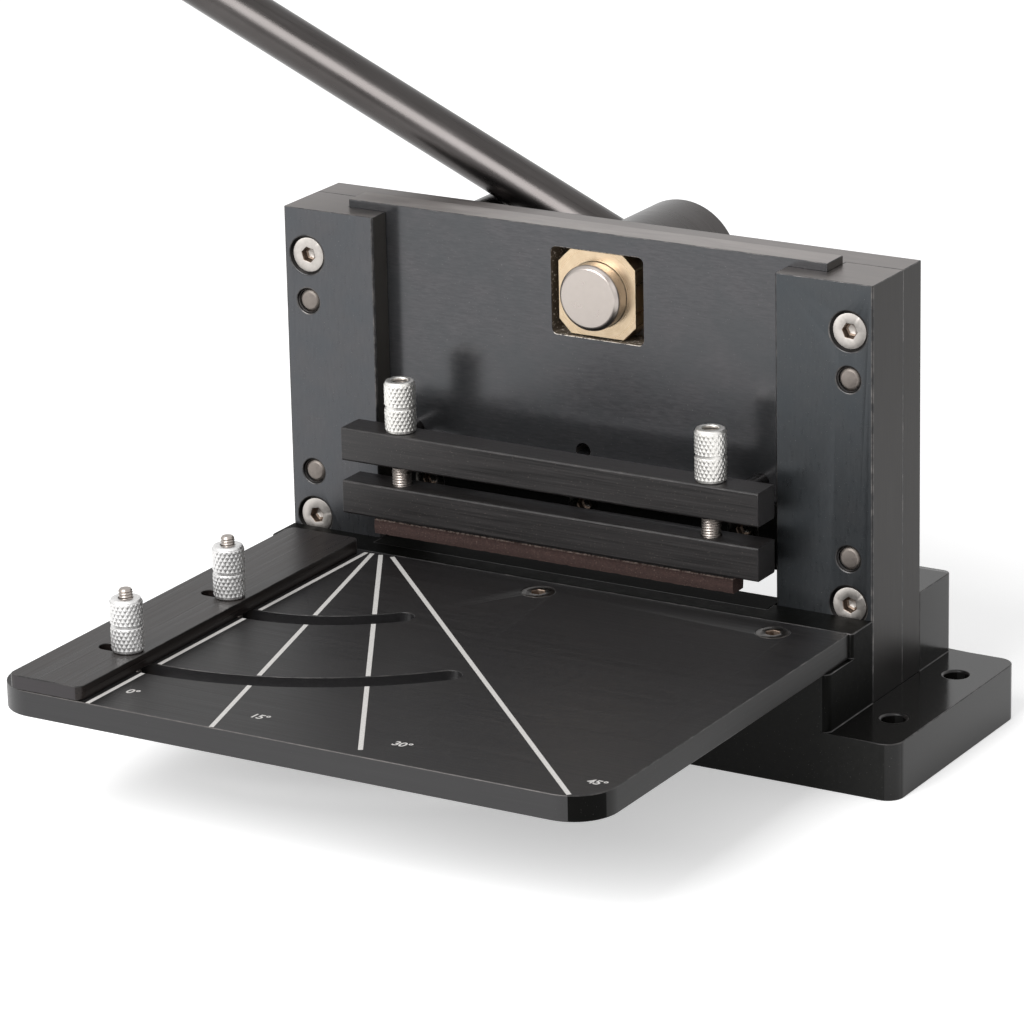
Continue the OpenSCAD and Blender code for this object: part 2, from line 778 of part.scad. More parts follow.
module upper_clamp_bar() {
    color("#232323") difference() {
        clamp_bar(up_bar_h);
        for (s = [-1, 1]) {
            translate([s * stud_x, bar_mid_y, up_bar_h - over])
                cylinder(h = bar_w + 2 * over, d = stud_d + 2 * fit);
            rod(s * standoff_x, up_bar_mid, -bar_gap - spigot_l - hole_end, over - bar_gap,
                spigot_d + 2 * fit);
        }
    }
}

module bar_standoffs() {
    color("#303031") difference() {
        for (s = [-1, 1]) {
            rod(s * standoff_x, up_bar_mid, -bar_gap, ram_y, standoff_d);
            rod(s * standoff_x, up_bar_mid, -bar_gap - spigot_l, over - bar_gap, spigot_d);
        }
        at_bar_screws() cap_screw_hole(bar_screw_d, bar_head_d, over, bar_screw_l);
    }
}

module bar_screws() {
    color("#2a2a2b") at_bar_screws()
        cap_screw(bar_screw_d, bar_head_d, bar_head_h, bar_screw_l, 0.75 * bar_screw_d);
}

// Pieces that ride on the hold-down

module lower_clamp_bar() {
    color("#232323") difference() {
        clamp_bar(low_bar_h);
        for (s = [-1, 1]) translate([s * stud_x, bar_mid_y, low_bar_h + stud_floor])
            cylinder(h = bar_w, d = stud_d + 2 * fit);
    }
}

module clamp_pad() {
    color("#4a3028") translate([-pad_l / 2, bar_y + pad_back, low_bar_h - pad_t])
        cube([pad_l, pad_d, pad_t]);
}

module clamp_studs() {
    z0 = low_bar_h + stud_floor + hole_end;
    color("#8f8f8f") for (s = [-1, 1]) translate([s * stud_x, bar_mid_y, z0])
        cylinder(h = knob_h + knob_l - knob_band - z0, d = stud_d);
}

module left_clamp_knob() {
    color("#d6d6d4") translate([-stud_x, bar_mid_y, knob_h]) knurled_nut(stud_d + 2 * fit);
}

module right_clamp_knob() {
    color("#d6d6d4") translate([stud_x, bar_mid_y, knob_h]) knurled_nut(stud_d + 2 * fit);
}

// Pieces that turn with the lever

module eccentric_shaft() {
    r = pin_d / 2;
    front = ram_y - pin_proud;
    l = journal_y - front + over;
    color("#8c8984") difference() {
        union() {
            rod(0, axis_h, journal_y, journal_y + flange_t, flange_d);
            rod(0, axis_h, journal_y, frame_back, journal_d);
            rod(0, axis_h, journal_y, tail_back, tail_d);
            translate([pin_x, front, pin_h]) facing_back() rotate_extrude()
                polygon([[0, 0], [r - pin_cut, 0], [r, pin_cut], [r, l], [0, l]]);
        }
        along_hub_pin() cylinder(h = hub_d, d = hub_pin_d + 2 * fit, center = true);
    }
}

module thrust_washer() {
    color("#a5793a") difference() {
        rod(0, axis_h, frame_back + slip, hub_y, hub_d);
        rod(0, axis_h, frame_back, hub_y + over, tail_d + 2 * fit);
    }
}

module lever_hub() {
    r = hub_d / 2;
    color("#2c2b2b") difference() {
        translate([0, hub_y, axis_h]) facing_back() rotate_extrude() polygon([
            [0, 0], [r, 0], [r, hub_l - end_cut], [r - end_cut, hub_l], [0, hub_l]]);
        rod(0, axis_h, hub_y - over, tail_back + hole_end, tail_d + 2 * fit);
        along_lever() translate([0, 0, -lever_in - hole_end])
            cylinder(h = hub_d, d = lever_d + 2 * fit);
        along_hub_pin() cylinder(h = 2 * hub_d, d = hub_pin_d + 2 * fit, center = true);
        rod(0, axis_h, lever_y, hub_back + over, hub_screw_d + 2 * fit);
    }
}

module hub_pin() {
    color("#77777a") along_hub_pin()
        cylinder(h = hub_d - 2 * end_cut, d = hub_pin_d, center = true);
}

module hub_screw() {
    y1 = hub_back - hole_end;
    color("#2a2a2b") difference() {
        rod(0, axis_h, lever_y + lever_d / 2, y1, hub_screw_d);
        translate([0, y1, axis_h]) facing_back() key_socket(hub_screw_d / 2);
    }
}

module lever_tube() {
    l = lever_l + lever_in;
    color("#33302e") along_lever() translate([0, 0, -lever_in]) difference() {
        cylinder(h = l, d = lever_d);
        translate([0, 0, -over]) cylinder(h = l + 2 * over, d = lever_d - 2 * lever_wall);
    }
}

module lever_plug() {
    r = lever_d / 2;
    r_in = r - lever_wall - fit;
    round = plug_out / 2;
    color("#161616") along_lever() translate([0, 0, lever_l]) rotate_extrude() polygon([
        [0, -plug_in], [r_in, -plug_in], [r_in, 0], [r, 0], [r, round],
        [r - round, plug_out], [0, plug_out]]);
}

module slide_block() {
    w = block_w / 2;
    c = block_cut;
    y1 = ram_back - slip;
    color("#c9a24e") difference() {
        translate([pin_x, y1, pin_h]) facing_front() linear_extrude(block_t) polygon([
            [-w, c - w], [c - w, -w], [w - c, -w], [w, c - w],
            [w, w - c], [w - c, w], [c - w, w], [-w, w - c]]);
        rod(pin_x, pin_h, y1 - block_t - over, y1 + over, pin_d + 2 * fit);
    }
}

// Pieces that swing with the fence

module fence_bar() {
    color("#2b2a2a") difference() {
        translate([0, 0, bed_h + slip]) linear_extrude(fence_t)
            plan(-fence_x - fence_w, -fence_x, -table_front, -fence_rear, fence_r, fence_r);
        at_fence_studs() translate([0, 0, bed_h]) {
            cylinder(h = fence_t + over, d = cross_w);
            translate([fence_stud_in - cross_l + cross_w / 2, 0, 0]) {
                cylinder(h = fence_t + over, d = cross_w);
                translate([0, -cross_w / 2, 0])
                    cube([cross_l - fence_stud_in - cross_w / 2, cross_w, fence_t + over]);
            }
        }
    }
}

// Studs with a collar that rides in the arc slot and a round head under the table
module fence_studs() {
    z0 = ledge_h - room - stud_head_t;
    color("#9a9a98") at_fence_studs() translate([0, 0, z0]) {
        cylinder(h = stud_head_t, d = arc_w + 2 * stud_head_lap);
        cylinder(h = stud_head_t + table_t, d = arc_w - 2 * room);
        cylinder(h = fence_top + knob_l + stud_out - z0, d = fence_stud_d);
    }
}

module front_fence_nut() {
    color("#d6d6d4") translate([fence_stud_x, -swing_y - front_stud, fence_top])
        knurled_nut(fence_stud_d + 2 * fit);
}

module rear_fence_nut() {
    color("#d6d6d4") translate([fence_stud_x, -swing_y - rear_stud, fence_top])
        knurled_nut(fence_stud_d + 2 * fit);
}

base();
table();
table_screws();
lower_blade();
lower_blade_screws();
left_gib();
right_gib();
back_plate();
gib_screws();
gib_dowels();
frame_bolts();
ear_bolts();
shaft_bushing();
lever_stop_pin();
ram();
upper_blade();
upper_blade_screws();
upper_clamp_bar();
bar_standoffs();
bar_screws();
lower_clamp_bar();
clamp_pad();
clamp_studs();
left_clamp_knob();
right_clamp_knob();
eccentric_shaft();
thrust_washer();
lever_hub();
hub_pin();
hub_screw();
lever_tube();
lever_plug();
slide_block();
fence_bar();
fence_studs();
front_fence_nut();
rear_fence_nut();
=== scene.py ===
import json
import math
import random

import bmesh
import bpy
from mathutils import Matrix, Vector


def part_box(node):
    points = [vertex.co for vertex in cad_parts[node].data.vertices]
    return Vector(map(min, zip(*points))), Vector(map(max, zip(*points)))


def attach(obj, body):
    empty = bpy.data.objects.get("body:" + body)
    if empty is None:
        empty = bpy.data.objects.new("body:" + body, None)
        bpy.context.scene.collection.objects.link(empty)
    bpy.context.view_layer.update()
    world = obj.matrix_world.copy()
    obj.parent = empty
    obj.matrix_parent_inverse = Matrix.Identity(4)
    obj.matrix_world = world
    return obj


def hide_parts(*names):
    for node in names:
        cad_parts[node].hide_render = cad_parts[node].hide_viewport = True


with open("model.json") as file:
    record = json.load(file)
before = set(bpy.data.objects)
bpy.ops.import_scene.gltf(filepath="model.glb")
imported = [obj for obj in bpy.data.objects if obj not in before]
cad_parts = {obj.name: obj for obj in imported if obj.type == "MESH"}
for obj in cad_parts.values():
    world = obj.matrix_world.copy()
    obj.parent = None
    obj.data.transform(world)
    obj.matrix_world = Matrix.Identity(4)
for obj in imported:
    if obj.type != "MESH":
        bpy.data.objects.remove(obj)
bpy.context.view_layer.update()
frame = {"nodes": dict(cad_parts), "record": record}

MM = 0.001
UP = Vector((0, 0, 1))
FRONT = Vector((0, -1, 0))
BACK = Vector((0, 1, 0))
RIGHT = Vector((1, 0, 0))
NODE_BODY = {node: body for body, nodes in frame["record"]["behaviour"]["bodies"].items() for node in nodes}


# Nodes and colours

def linear(colour):
    """An sRGB hex colour as linear RGBA."""
    parts = [int(colour[i:i + 2], 16) / 255 for i in (1, 3, 5)]
    return [p / 12.92 if p <= 0.04045 else ((p + 0.055) / 1.055) ** 2.4 for p in parts] + [1.0]


def add(tree, kind, values=None, **settings):
    """Adds a node with its settings. values holds numbers or the sockets that feed its inputs. A Mix
    node of colours has its share at input 0, its colours at 6 and 7 and its result at output 2."""
    node = tree.nodes.new(kind)
    for name, setting in settings.items():
        setattr(node, name, setting)
    for name, value in (values or {}).items():
        if isinstance(value, bpy.types.NodeSocket):
            tree.links.new(value, node.inputs[name])
        else:
            node.inputs[name].default_value = value
    return node


# Finishes

NOISE = {"From Min": 0.3, "From Max": 0.7}


def blank_material(name, metallic=0.0, **sockets):
    """A material with its shader's constant sockets set, and its tree and shader."""
    material = bpy.data.materials.new(name)
    material.use_nodes = True
    tree = material.node_tree
    shader = tree.nodes["Principled BSDF"]
    shader.inputs["Metallic"].default_value = metallic
    for socket, value in sockets.items():
        shader.inputs[socket.replace("_", " ")].default_value = value
    return material, tree, shader


def grain(tree, size_mm, detail=3.0, seed=0.0, rough=0.6):
    """Noise whose cells are size_mm across along X, Y and Z. Most of it lies in the range NOISE."""
    place = add(tree, "ShaderNodeTexCoord").outputs["Object"]
    scaled = add(tree, "ShaderNodeMapping", {
        "Vector": place, "Location": (seed, seed, seed), "Scale": [1 / (s * MM) for s in size_mm]})
    return add(tree, "ShaderNodeTexNoise", {
        "Vector": scaled.outputs[0], "Scale": 1.0, "Detail": detail, "Roughness": rough}).outputs[0]


def flecked(tree, tone, size_mm, rarity, colour, seed=0.0):
    """A tone with sparse light flecks: dust and small dents that catch the light. A fleck shows
    where the noise passes rarity."""
    flecks = grain(tree, (size_mm,) * 3, detail=1, seed=seed)
    shown = add(tree, "ShaderNodeMapRange", {
        "Value": flecks, "From Min": rarity, "From Max": rarity + 0.04}).outputs[0]
    return add(tree, "ShaderNodeMix", {0: shown, 6: tone, 7: linear(colour)}, data_type="RGBA").outputs[2]


def dress_metal(tree, shader, streak, mottle, colours, roughness, bump_mm, flecks=None):
    """Colour, roughness and bump of a worked metal: its tone and gloss run between two values along
    the streaks, and a third tone lies over them in soft patches. flecks may give the size in mm,
    rarity, colour and seed of light flecks."""
    along, across, over = (linear(colour) for colour in colours)
    streaks = add(tree, "ShaderNodeMapRange", {"Value": streak, **NOISE}).outputs[0]
    tone = add(tree, "ShaderNodeMix", {0: streaks, 6: along, 7: across}, data_type="RGBA").outputs[2]
    patches = add(tree, "ShaderNodeMapRange", {"Value": mottle, **NOISE, "To Max": 0.6}).outputs[0]
    tone = add(tree, "ShaderNodeMix", {0: patches, 6: tone, 7: over}, data_type="RGBA").outputs[2]
    if flecks:
        tone = flecked(tree, tone, *flecks)
    gloss = add(tree, "ShaderNodeMapRange", {
        "Value": streak, **NOISE, "To Min": roughness[0], "To Max": roughness[1]}).outputs[0]
    bump = add(tree, "ShaderNodeBump", {"Height": streak, "Strength": 0.5, "Distance": bump_mm * MM})
    tree.links.new(tone, shader.inputs["Base Color"])
    tree.links.new(gloss, shader.inputs["Roughness"])
    tree.links.new(bump.outputs[0], shader.inputs["Normal"])


def satin_black(name, streak_mm, colours, roughness=(0.3, 0.42), seed=0.0, shine=0.5,
                dust=(0.45, 0.74, "#4d4b4a"), bump_mm=0.02):
    """A black that hides its metal, as on anodised aluminium and phosphated tool steel: satin, a
    little brown in the light, with the brushing or milling as faint streaks in tone and gloss.
    streak_mm gives the streaks' size along X, Y and Z; real brushing is 0.05 mm wide, drawn here
    0.35 mm or more so that it shows. dust gives the size in mm, rarity and colour of specks, and
    shine the specular level."""
    material, tree, shader = blank_material(name, Specular_IOR_Level=shine)
    streak = grain(tree, streak_mm, detail=4, seed=seed)
    mottle = grain(tree, (18, 18, 18), seed=seed + 7)
    dress_metal(tree, shader, streak, mottle, colours, roughness, bump_mm, dust + (seed + 20,))
    return material


def blackened_steel(name, streak_mm, colours, roughness, seed=0.0, flecks=None, metallic=1.0):
    """Ground steel with a chemical black: a thin dark oxide over metal, so it reflects more than
    paint would, bluish, with the grinding just visible and soft mottling from handling. metallic is
    lower where the oxide is thick enough to scatter light of its own."""
    material, tree, shader = blank_material(name, metallic)
    streak = grain(tree, streak_mm, detail=4, seed=seed)
    mottle = grain(tree, (14, 14, 14), detail=4, seed=seed + 3)
    dress_metal(tree, shader, streak, mottle, colours, roughness, 0.006, flecks)
    return material


def bare_metal(name, colours, roughness, streak_mm=(1.2, 1.2, 1.2), seed=0.0, bump_mm=0.01):
    """Bare or plated metal: full metallic, its tone and gloss broken up by fine working marks."""
    material, tree, shader = blank_material(name, metallic=1.0)
    streak = grain(tree, streak_mm, detail=4, seed=seed)
    mottle = grain(tree, (4, 4, 4), seed=seed + 5)
    dress_metal(tree, shader, streak, mottle, colours, roughness, bump_mm)
    return material


def chipped(tree, tone, centre, reach_mm, colour, seed):
    """A tone with bright chips of a millimetre along the level sides of a square opening: in the
    outer 3 mm of reach_mm above and below its centre, seen from the front."""
    rim_mm = 3
    place = add(tree, "ShaderNodeTexCoord").outputs["Object"]
    offset = add(tree, "ShaderNodeVectorMath", {0: place, 1: centre}, operation="SUBTRACT").outputs[0]
    size = add(tree, "ShaderNodeVectorMath", {0: offset}, operation="ABSOLUTE").outputs[0]
    away = add(tree, "ShaderNodeSeparateXYZ", {0: size}).outputs
    far = add(tree, "ShaderNodeMath", {0: away["X"], 1: away["Z"]}, operation="MAXIMUM").outputs[0]
    near = add(tree, "ShaderNodeMath", {0: far, 1: reach_mm * MM}, operation="LESS_THAN").outputs[0]
    level = add(tree, "ShaderNodeMath", {0: away["Z"], 1: (reach_mm - rim_mm) * MM},
                operation="GREATER_THAN").outputs[0]
    rim = add(tree, "ShaderNodeMath", {0: near, 1: level}, operation="MULTIPLY").outputs[0]
    chips = add(tree, "ShaderNodeMapRange", {
        "Value": grain(tree, (0.9, 0.9, 0.9), detail=3, seed=seed),
        "From Min": 0.42, "From Max": 0.56}).outputs[0]
    shown = add(tree, "ShaderNodeMath", {0: rim, 1: chips}, operation="MULTIPLY").outputs[0]
    return add(tree, "ShaderNodeMix", {0: shown, 6: tone, 7: linear(colour)}, data_type="RGBA").outputs[2]


def worn_edge(name, dark, bright, seed=0.0, metallic=0.8, chips=None):
    """The broken edge of a blackened piece: the black is thin there, so bare metal glints through
    in dashes of a few millimetres. On the table's front edge and the bronze block the lighter tone
    is a painted highlight. chips may give the centre, reach in mm and colour of the chips round an
    opening."""
    material, tree, shader = blank_material(name, metallic=metallic)
    dashes = grain(tree, (5, 5, 5), detail=5, seed=seed)
    shown = add(tree, "ShaderNodeMapRange", {"Value": dashes, "From Min": 0.45, "From Max": 0.7}).outputs[0]
    tone = add(tree, "ShaderNodeMix", {0: shown, 6: linear(dark), 7: linear(bright)},
               data_type="RGBA").outputs[2]
    if chips:
        tone = chipped(tree, tone, *chips, seed + 2)
    gloss = add(tree, "ShaderNodeMapRange", {
        "Value": dashes, **NOISE, "To Min": 0.42, "To Max": 0.3}).outputs[0]
    tree.links.new(tone, shader.inputs["Base Color"])
    tree.links.new(gloss, shader.inputs["Roughness"])
    return material


def turned_face(name, centre, colours, roughness, pitch_mm, seed=0.0):
    """Metal faced in a lathe or milled round a bore: fine rings round an axis along Y, through
    centre."""
    material, tree, shader = blank_material(name, metallic=1.0)
    place = add(tree, "ShaderNodeTexCoord").outputs["Object"]
    away = add(tree, "ShaderNodeVectorMath", {0: place, 1: centre}, operation="SUBTRACT").outputs[0]
    flat = add(tree, "ShaderNodeVectorMath", {0: away, 1: (1, 0, 1)}, operation="MULTIPLY").outputs[0]
    radius = add(tree, "ShaderNodeVectorMath", {0: flat}, operation="LENGTH").outputs["Value"]
    count = add(tree, "ShaderNodeMath", {0: radius, 1: 1 / (pitch_mm * MM)}, operation="MULTIPLY").outputs[0]
    rings = add(tree, "ShaderNodeTexNoise", {"W": count, "Scale": 1.0, "Detail": 2.0},
                noise_dimensions="1D").outputs[0]
    mottle = grain(tree, (3, 3, 3), detail=5, seed=seed)
    dress_metal(tree, shader, rings, mottle, colours, roughness, 0.006)
    return material


def fibrous_leather(name, edge_z):
    """Oil-darkened leather, cut and not trimmed: matt, brown, with light fibres in the cut face and
    torn pale ones in the half millimetre under its upper edge, at edge_z; that pale band is partly the
    torn fibres' own colour and partly a painted highlight of the light they catch."""
    material, tree, shader = blank_material(name)
    fibre = grain(tree, (0.5, 0.5, 0.35), detail=6, seed=2, rough=0.75)
    fibres = add(tree, "ShaderNodeMapRange", {"Value": fibre, **NOISE}).outputs[0]
    tone = add(tree, "ShaderNodeMix", {0: fibres, 6: linear("#211412"), 7: linear("#4b3530")},
               data_type="RGBA").outputs[2]
    patch = grain(tree, (3, 3, 2), detail=4, seed=9)
    patches = add(tree, "ShaderNodeMapRange", {"Value": patch, **NOISE, "To Max": 0.4}).outputs[0]
    tone = add(tree, "ShaderNodeMix", {0: patches, 6: tone, 7: linear("#241613")},
               data_type="RGBA").outputs[2]
    tone = flecked(tree, tone, 0.35, 0.68, "#6d5a52", 31.0)
    place = add(tree, "ShaderNodeTexCoord").outputs["Object"]
    height = add(tree, "ShaderNodeSeparateXYZ", {0: place}).outputs["Z"]
    # Pale band under the upper edge: torn fibres, with a painted highlight where they catch the light.
    fuzz = add(tree, "ShaderNodeMapRange", {
        "Value": height, "From Min": edge_z - 0.5 * MM, "From Max": edge_z}).outputs[0]
    torn = add(tree, "ShaderNodeMapRange", {
        "Value": grain(tree, (0.9, 0.9, 0.9), detail=5, seed=41),
        "From Min": 0.4, "From Max": 0.6}).outputs[0]
    pale = add(tree, "ShaderNodeMath", {0: fuzz, 1: torn}, operation="MULTIPLY").outputs[0]
    tone = add(tree, "ShaderNodeMix", {0: pale, 6: tone, 7: linear("#a8968c")}, data_type="RGBA").outputs[2]
    bump = add(tree, "ShaderNodeBump", {"Height": fibre, "Strength": 0.9, "Distance": 0.3 * MM})
    tree.links.new(tone, shader.inputs["Base Color"])
    tree.links.new(bump.outputs[0], shader.inputs["Normal"])
    shader.inputs["Roughness"].default_value = 0.9
    return material


def engraved_paint(name):
    """White enamel of the table's lines: dull, slightly grey and pitted."""
    material, tree, shader = blank_material(name, Roughness=0.6)
    pits = add(tree, "ShaderNodeMapRange", {
        "Value": grain(tree, (0.6, 0.6, 0.6), detail=5, seed=4), **NOISE}).outputs[0]
    tone = add(tree, "ShaderNodeMix", {0: pits, 6: linear("#b9b6b3"), 7: linear("#d6d4d1")},
               data_type="RGBA").outputs[2]
    tree.links.new(tone, shader.inputs["Base Color"])
    return material


def moulded_plastic(name, colour):
    """Moulded plastic: soft sheen with a slight orange peel."""
    material, tree, shader = blank_material(name)
    peel = grain(tree, (0.8, 0.8, 0.8), seed=1)
    share = add(tree, "ShaderNodeMapRange", {"Value": peel, **NOISE}).outputs[0]
    tone = add(tree, "ShaderNodeMix", {0: share, 6: linear(colour), 7: linear("#222222")},
               data_type="RGBA").outputs[2]
    gloss = add(tree, "ShaderNodeMapRange", {
        "Value": peel, **NOISE, "To Min": 0.45, "To Max": 0.6}).outputs[0]
    tree.links.new(tone, shader.inputs["Base Color"])
    tree.links.new(gloss, shader.inputs["Roughness"])
    return material


# Black anodised aluminium and phosphated steel

TABLE_BLACK = satin_black(
    "black anodised aluminium, table brushed along X", (60, 0.35, 0.35),
    ("#0b0a0a", "#272525", "#191819"), (0.36, 0.52), seed=1, shine=0.28, bump_mm=0.03)
TABLE_SIDE = satin_black(
    "black anodised aluminium, table sides brushed", (0.5, 60, 0.5),
    ("#121111", "#1c1b1a", "#171615"), (0.3, 0.4), seed=30, shine=0.2)
TABLE_EDGE = satin_black(
    "black anodised aluminium, table edge brushed", (60, 0.35, 0.35),
    ("#161516", "#212021", "#1c1b1c"), seed=1)
FENCE_BLACK = satin_black(
    "black anodised aluminium, fence brushed along Y", (0.5, 70, 0.5),
    ("#0d0a0a", "#29221f", "#1a1716"), (0.24, 0.42), seed=2, shine=0.24)
FENCE_END = satin_black(
    "black anodised aluminium, fence end milled", (40, 0.5, 0.5),
    ("#181416", "#221c1f", "#1d181b"), seed=2)
BAR_BLACK = satin_black(
    "black anodised aluminium, bars drawn along X", (40, 0.5, 0.5),
    ("#0b0a0a", "#302d2d", "#1b1919"), (0.28, 0.46), seed=3, dust=(0.4, 0.72, "#625a54"))
BASE_BLACK = satin_black(
    "black anodised aluminium, base milled", (2, 2, 2),
    ("#0e0e0d", "#141312", "#11100f"), (0.13, 0.19), seed=4, shine=0.3, bump_mm=0.002)
# A lighter copy of the base's black for its front faces: painted light.
BASE_FRONT_LIT = satin_black(
    "black anodised aluminium, base front milled", (2, 2, 2),
    ("#161615", "#1d1d1c", "#1a1a19"), (0.4, 0.5), seed=34, shine=0.14, bump_mm=0.002)
BASE_SIDE = satin_black(
    "black anodised aluminium, base sides milled", (2, 2, 2),
    ("#0e0d0c", "#141312", "#11100f"), (0.16, 0.22), seed=36, shine=0.2, bump_mm=0.002)
# Near-black painted shade for the raised bed under and behind the table, and for the table's rounded front
# right corner.
BED_SHADED = satin_black(
    "black anodised aluminium, bed darkened as painted shade", (3, 3, 3),
    ("#050504", "#090908", "#070706"), (0.44, 0.54), seed=24, shine=0.05)
# The blades' near-black is the phosphate's own black, darkened further as painted shade in the throat.
BLADE_STEEL = satin_black(
    "tool steel blades, phosphated black", (20, 0.4, 0.4),
    ("#0a0a09", "#141413", "#0e0e0d"), (0.6, 0.7), seed=10, shine=0.06)

# Blackened steel

GIB_DUST = (0.4, 0.72, "#7f7d7b")
RAM_DUST = (0.4, 0.76, "#7f7d7b")
WINDOW_GLINTS = (0.9, 0.64, "#e0d8cc")
GIB_STEEL = blackened_steel(
    "blackened steel, gibs ground", (1, 6, 6),
    ("#4a4a4c", "#515153", "#464a4e"), (0.26, 0.34), seed=5, flecks=GIB_DUST, metallic=0.75)
# The right gib's copy of the gib steel is darker: painted shade for the dimmer light on that side.
GIB_STEEL_RIGHT_SHADED = blackened_steel(
    "blackened steel, right gib ground, a darker batch", (1, 6, 6),
    ("#404244", "#47494b", "#3c4145"), (0.26, 0.34), seed=38, flecks=GIB_DUST, metallic=0.75)
# A lighter copy of the steel for faces that look up: painted sheen of the light on the gibs' and back
# plate's tops.
GIB_TOP_SHEEN = blackened_steel(
    "blackened steel, top faces lightened as painted sheen", (16, 3, 16),
    ("#6a6563", "#8a8482", "#77726f"), (0.32, 0.4), seed=25)
# The flanks take a darker copy of the face steel: painted shade on the faces that look to the sides.
GIB_FLANK_SHADED = blackened_steel(
    "blackened steel, flanks milled, darkened as painted shade", (6, 0.5, 25),
    ("#242221", "#2c2a29", "#282624"), (0.32, 0.42), seed=26)
# A lighter copy of the flank steel, on the left gib's flanks and the ram's sides: painted light on the
# shaded inner flank.
GIB_INNER_LIT = blackened_steel(
    "blackened steel, left gib's inner flank rubbed", (6, 0.5, 25),
    ("#3d3a37", "#4a4743", "#43403c"), (0.4, 0.5), seed=37, metallic=0.4)
# The countersinks' darker steel is painted shade in the recesses.
GIB_MOUTH_SHADED = blackened_steel(
    "blackened steel, countersinks darkened as painted shade", (2, 2, 2),
    ("#1d1c1c", "#2a2827", "#232221"), (0.4, 0.5), seed=27)
PLATE_STEEL = blackened_steel(
    "blackened steel, back plate ground", (12, 6, 0.5),
    ("#444343", "#504f4e", "#484746"), (0.3, 0.4), seed=6)
RAM_STEEL = blackened_steel(
    "blackened steel, ram ground", (3, 2, 0.5),
    ("#424244", "#504f51", "#404345"), (0.16, 0.24), seed=7, flecks=RAM_DUST, metallic=0.6)
# A lighter copy of the ram steel for its top: painted sheen of the light on the faces that look up.
RAM_TOP_SHEEN = blackened_steel(
    "blackened steel, ram's top lightened as painted sheen", (16, 3, 16),
    ("#7f7977", "#a19b98", "#8c8683"), (0.32, 0.4), seed=28)
# The window walls' light brown tone is painted light on walls that lie in shade.
WINDOW_WALL_LIT = blackened_steel(
    "blackened steel, window walls lightened as painted light", (1.5, 1.5, 1.5),
    ("#4f463c", "#6f6456", "#5a5044"), (0.4, 0.5), seed=29, flecks=WINDOW_GLINTS, metallic=0.3)
LEVER_STEEL = blackened_steel(
    "drawn steel tube, oil blackened", (30, 2, 30),
    ("#444140", "#53504f", "#4a4746"), (0.25, 0.33), seed=8)
SCREW_BLACK = blackened_steel(
    "black oxide screws", (1, 1, 1),
    ("#34322f", "#44423f", "#3b3937"), (0.24, 0.34), seed=9)

# Bare and plated metals

STAINLESS = bare_metal(
    "blasted stainless screws", ("#aba6a1", "#c0bbb6", "#b6b1ac"), (0.44, 0.54), seed=11, bump_mm=0.004)
DULL_STAINLESS = bare_metal(
    "stainless screws, handled", ("#5f5a57", "#7a746f", "#55514e"), (0.25, 0.4), seed=21)
DOWEL_STEEL = bare_metal(
    "ground dowels, slightly tarnished", ("#77706b", "#8a837d", "#7f7873"), (0.52, 0.62), seed=12)
ZINC = bare_metal(
    "bright zinc plate", ("#dad8d4", "#ebe9e5", "#e1dfdb"), (0.36, 0.46), seed=13)
ZINC_HANDLED = bare_metal(
    "zinc plate, handled", ("#d6d5d4", "#eae9e8", "#dedddc"), (0.36, 0.46), seed=33)
STUD_STEEL = bare_metal(
    "cut steel studs", ("#99918b", "#aea6a0", "#a39b95"), (0.3, 0.38), (4, 4, 4), seed=14, bump_mm=0.001)
PIN_STEEL = bare_metal(
    "ground steel pin", ("#aaa29c", "#b4aca6", "#aea6a0"), (0.26, 0.34), (5, 1, 5), seed=15, bump_mm=0.003)
BUSHING_BRONZE = bare_metal(
    "bearing bronze, oiled", ("#7d6642", "#8d744c", "#725c3b"), (0.3, 0.42), seed=17)
SOCKET_WALL = bare_metal(
    "screw sockets, tarnished", ("#64554a", "#83756a", "#6e6055"), (0.4, 0.5), seed=35)
BLOCK_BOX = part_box("slide_block")
PIN_AXIS = (BLOCK_BOX[0] + BLOCK_BOX[1]) / 2
BRONZE = turned_face(
    "milled bearing bronze", PIN_AXIS, ("#c0ab8e", "#d2bfa4", "#b39d81"), (0.24, 0.38), 0.7, seed=16)

# Edges

EDGE_ANODISED = worn_edge(
    "worn edge of black anodised aluminium", "#191818", "#454241", seed=18, metallic=0.3)
EDGE_FRONT_HIGHLIGHT = worn_edge("front edge of the table, lightened as painted highlight", "#4a4746", "#625e5c", seed=18, metallic=0.3)
EDGE_BAR = worn_edge("rounded edge of the bars", "#1b1919", "#3a3736", seed=22, metallic=0.3)
EDGE_STEEL = worn_edge("worn edge of blackened steel", "#3f3f40", "#6b6866", seed=19)
EDGE_WINDOW = worn_edge(
    "worn edge of the ram, chipped round its window", "#3f3f40", "#6b6866", seed=19,
    chips=(PIN_AXIS, 18, "#bdb6ad"))
# Bronze has no black to wear through: the lighter dashes on its edges are painted highlights.
EDGE_BRONZE_HIGHLIGHT = worn_edge("broken edge of the bronze block, painted highlight", "#b3a284", "#efe2c8", seed=23)

# Leather, paint and plastic

PAD_SEAM = 1.4 * MM
LEATHER = fibrous_leather("oiled leather, cut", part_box("clamp_pad")[1].z - PAD_SEAM)
BACKING = moulded_plastic("black adhesive backing", "#0b0b0b")
PAINT = engraved_paint("white enamel in engraved lines")
PLUG_PLASTIC = moulded_plastic("black polyethylene plug", "#151515")


# Shapes

SHARP = 32


def linked(name, mesh):
    """A new object that shows a mesh."""
    piece = bpy.data.objects.new(name, mesh)
    bpy.context.scene.collection.objects.link(piece)
    return piece


def shaded(piece, angle=SHARP):
    """Smooth shading with sharp edges past an angle in degrees."""
    piece.data.shade_smooth()
    piece.data.set_sharp_from_angle(angle=math.radians(angle))
    return piece


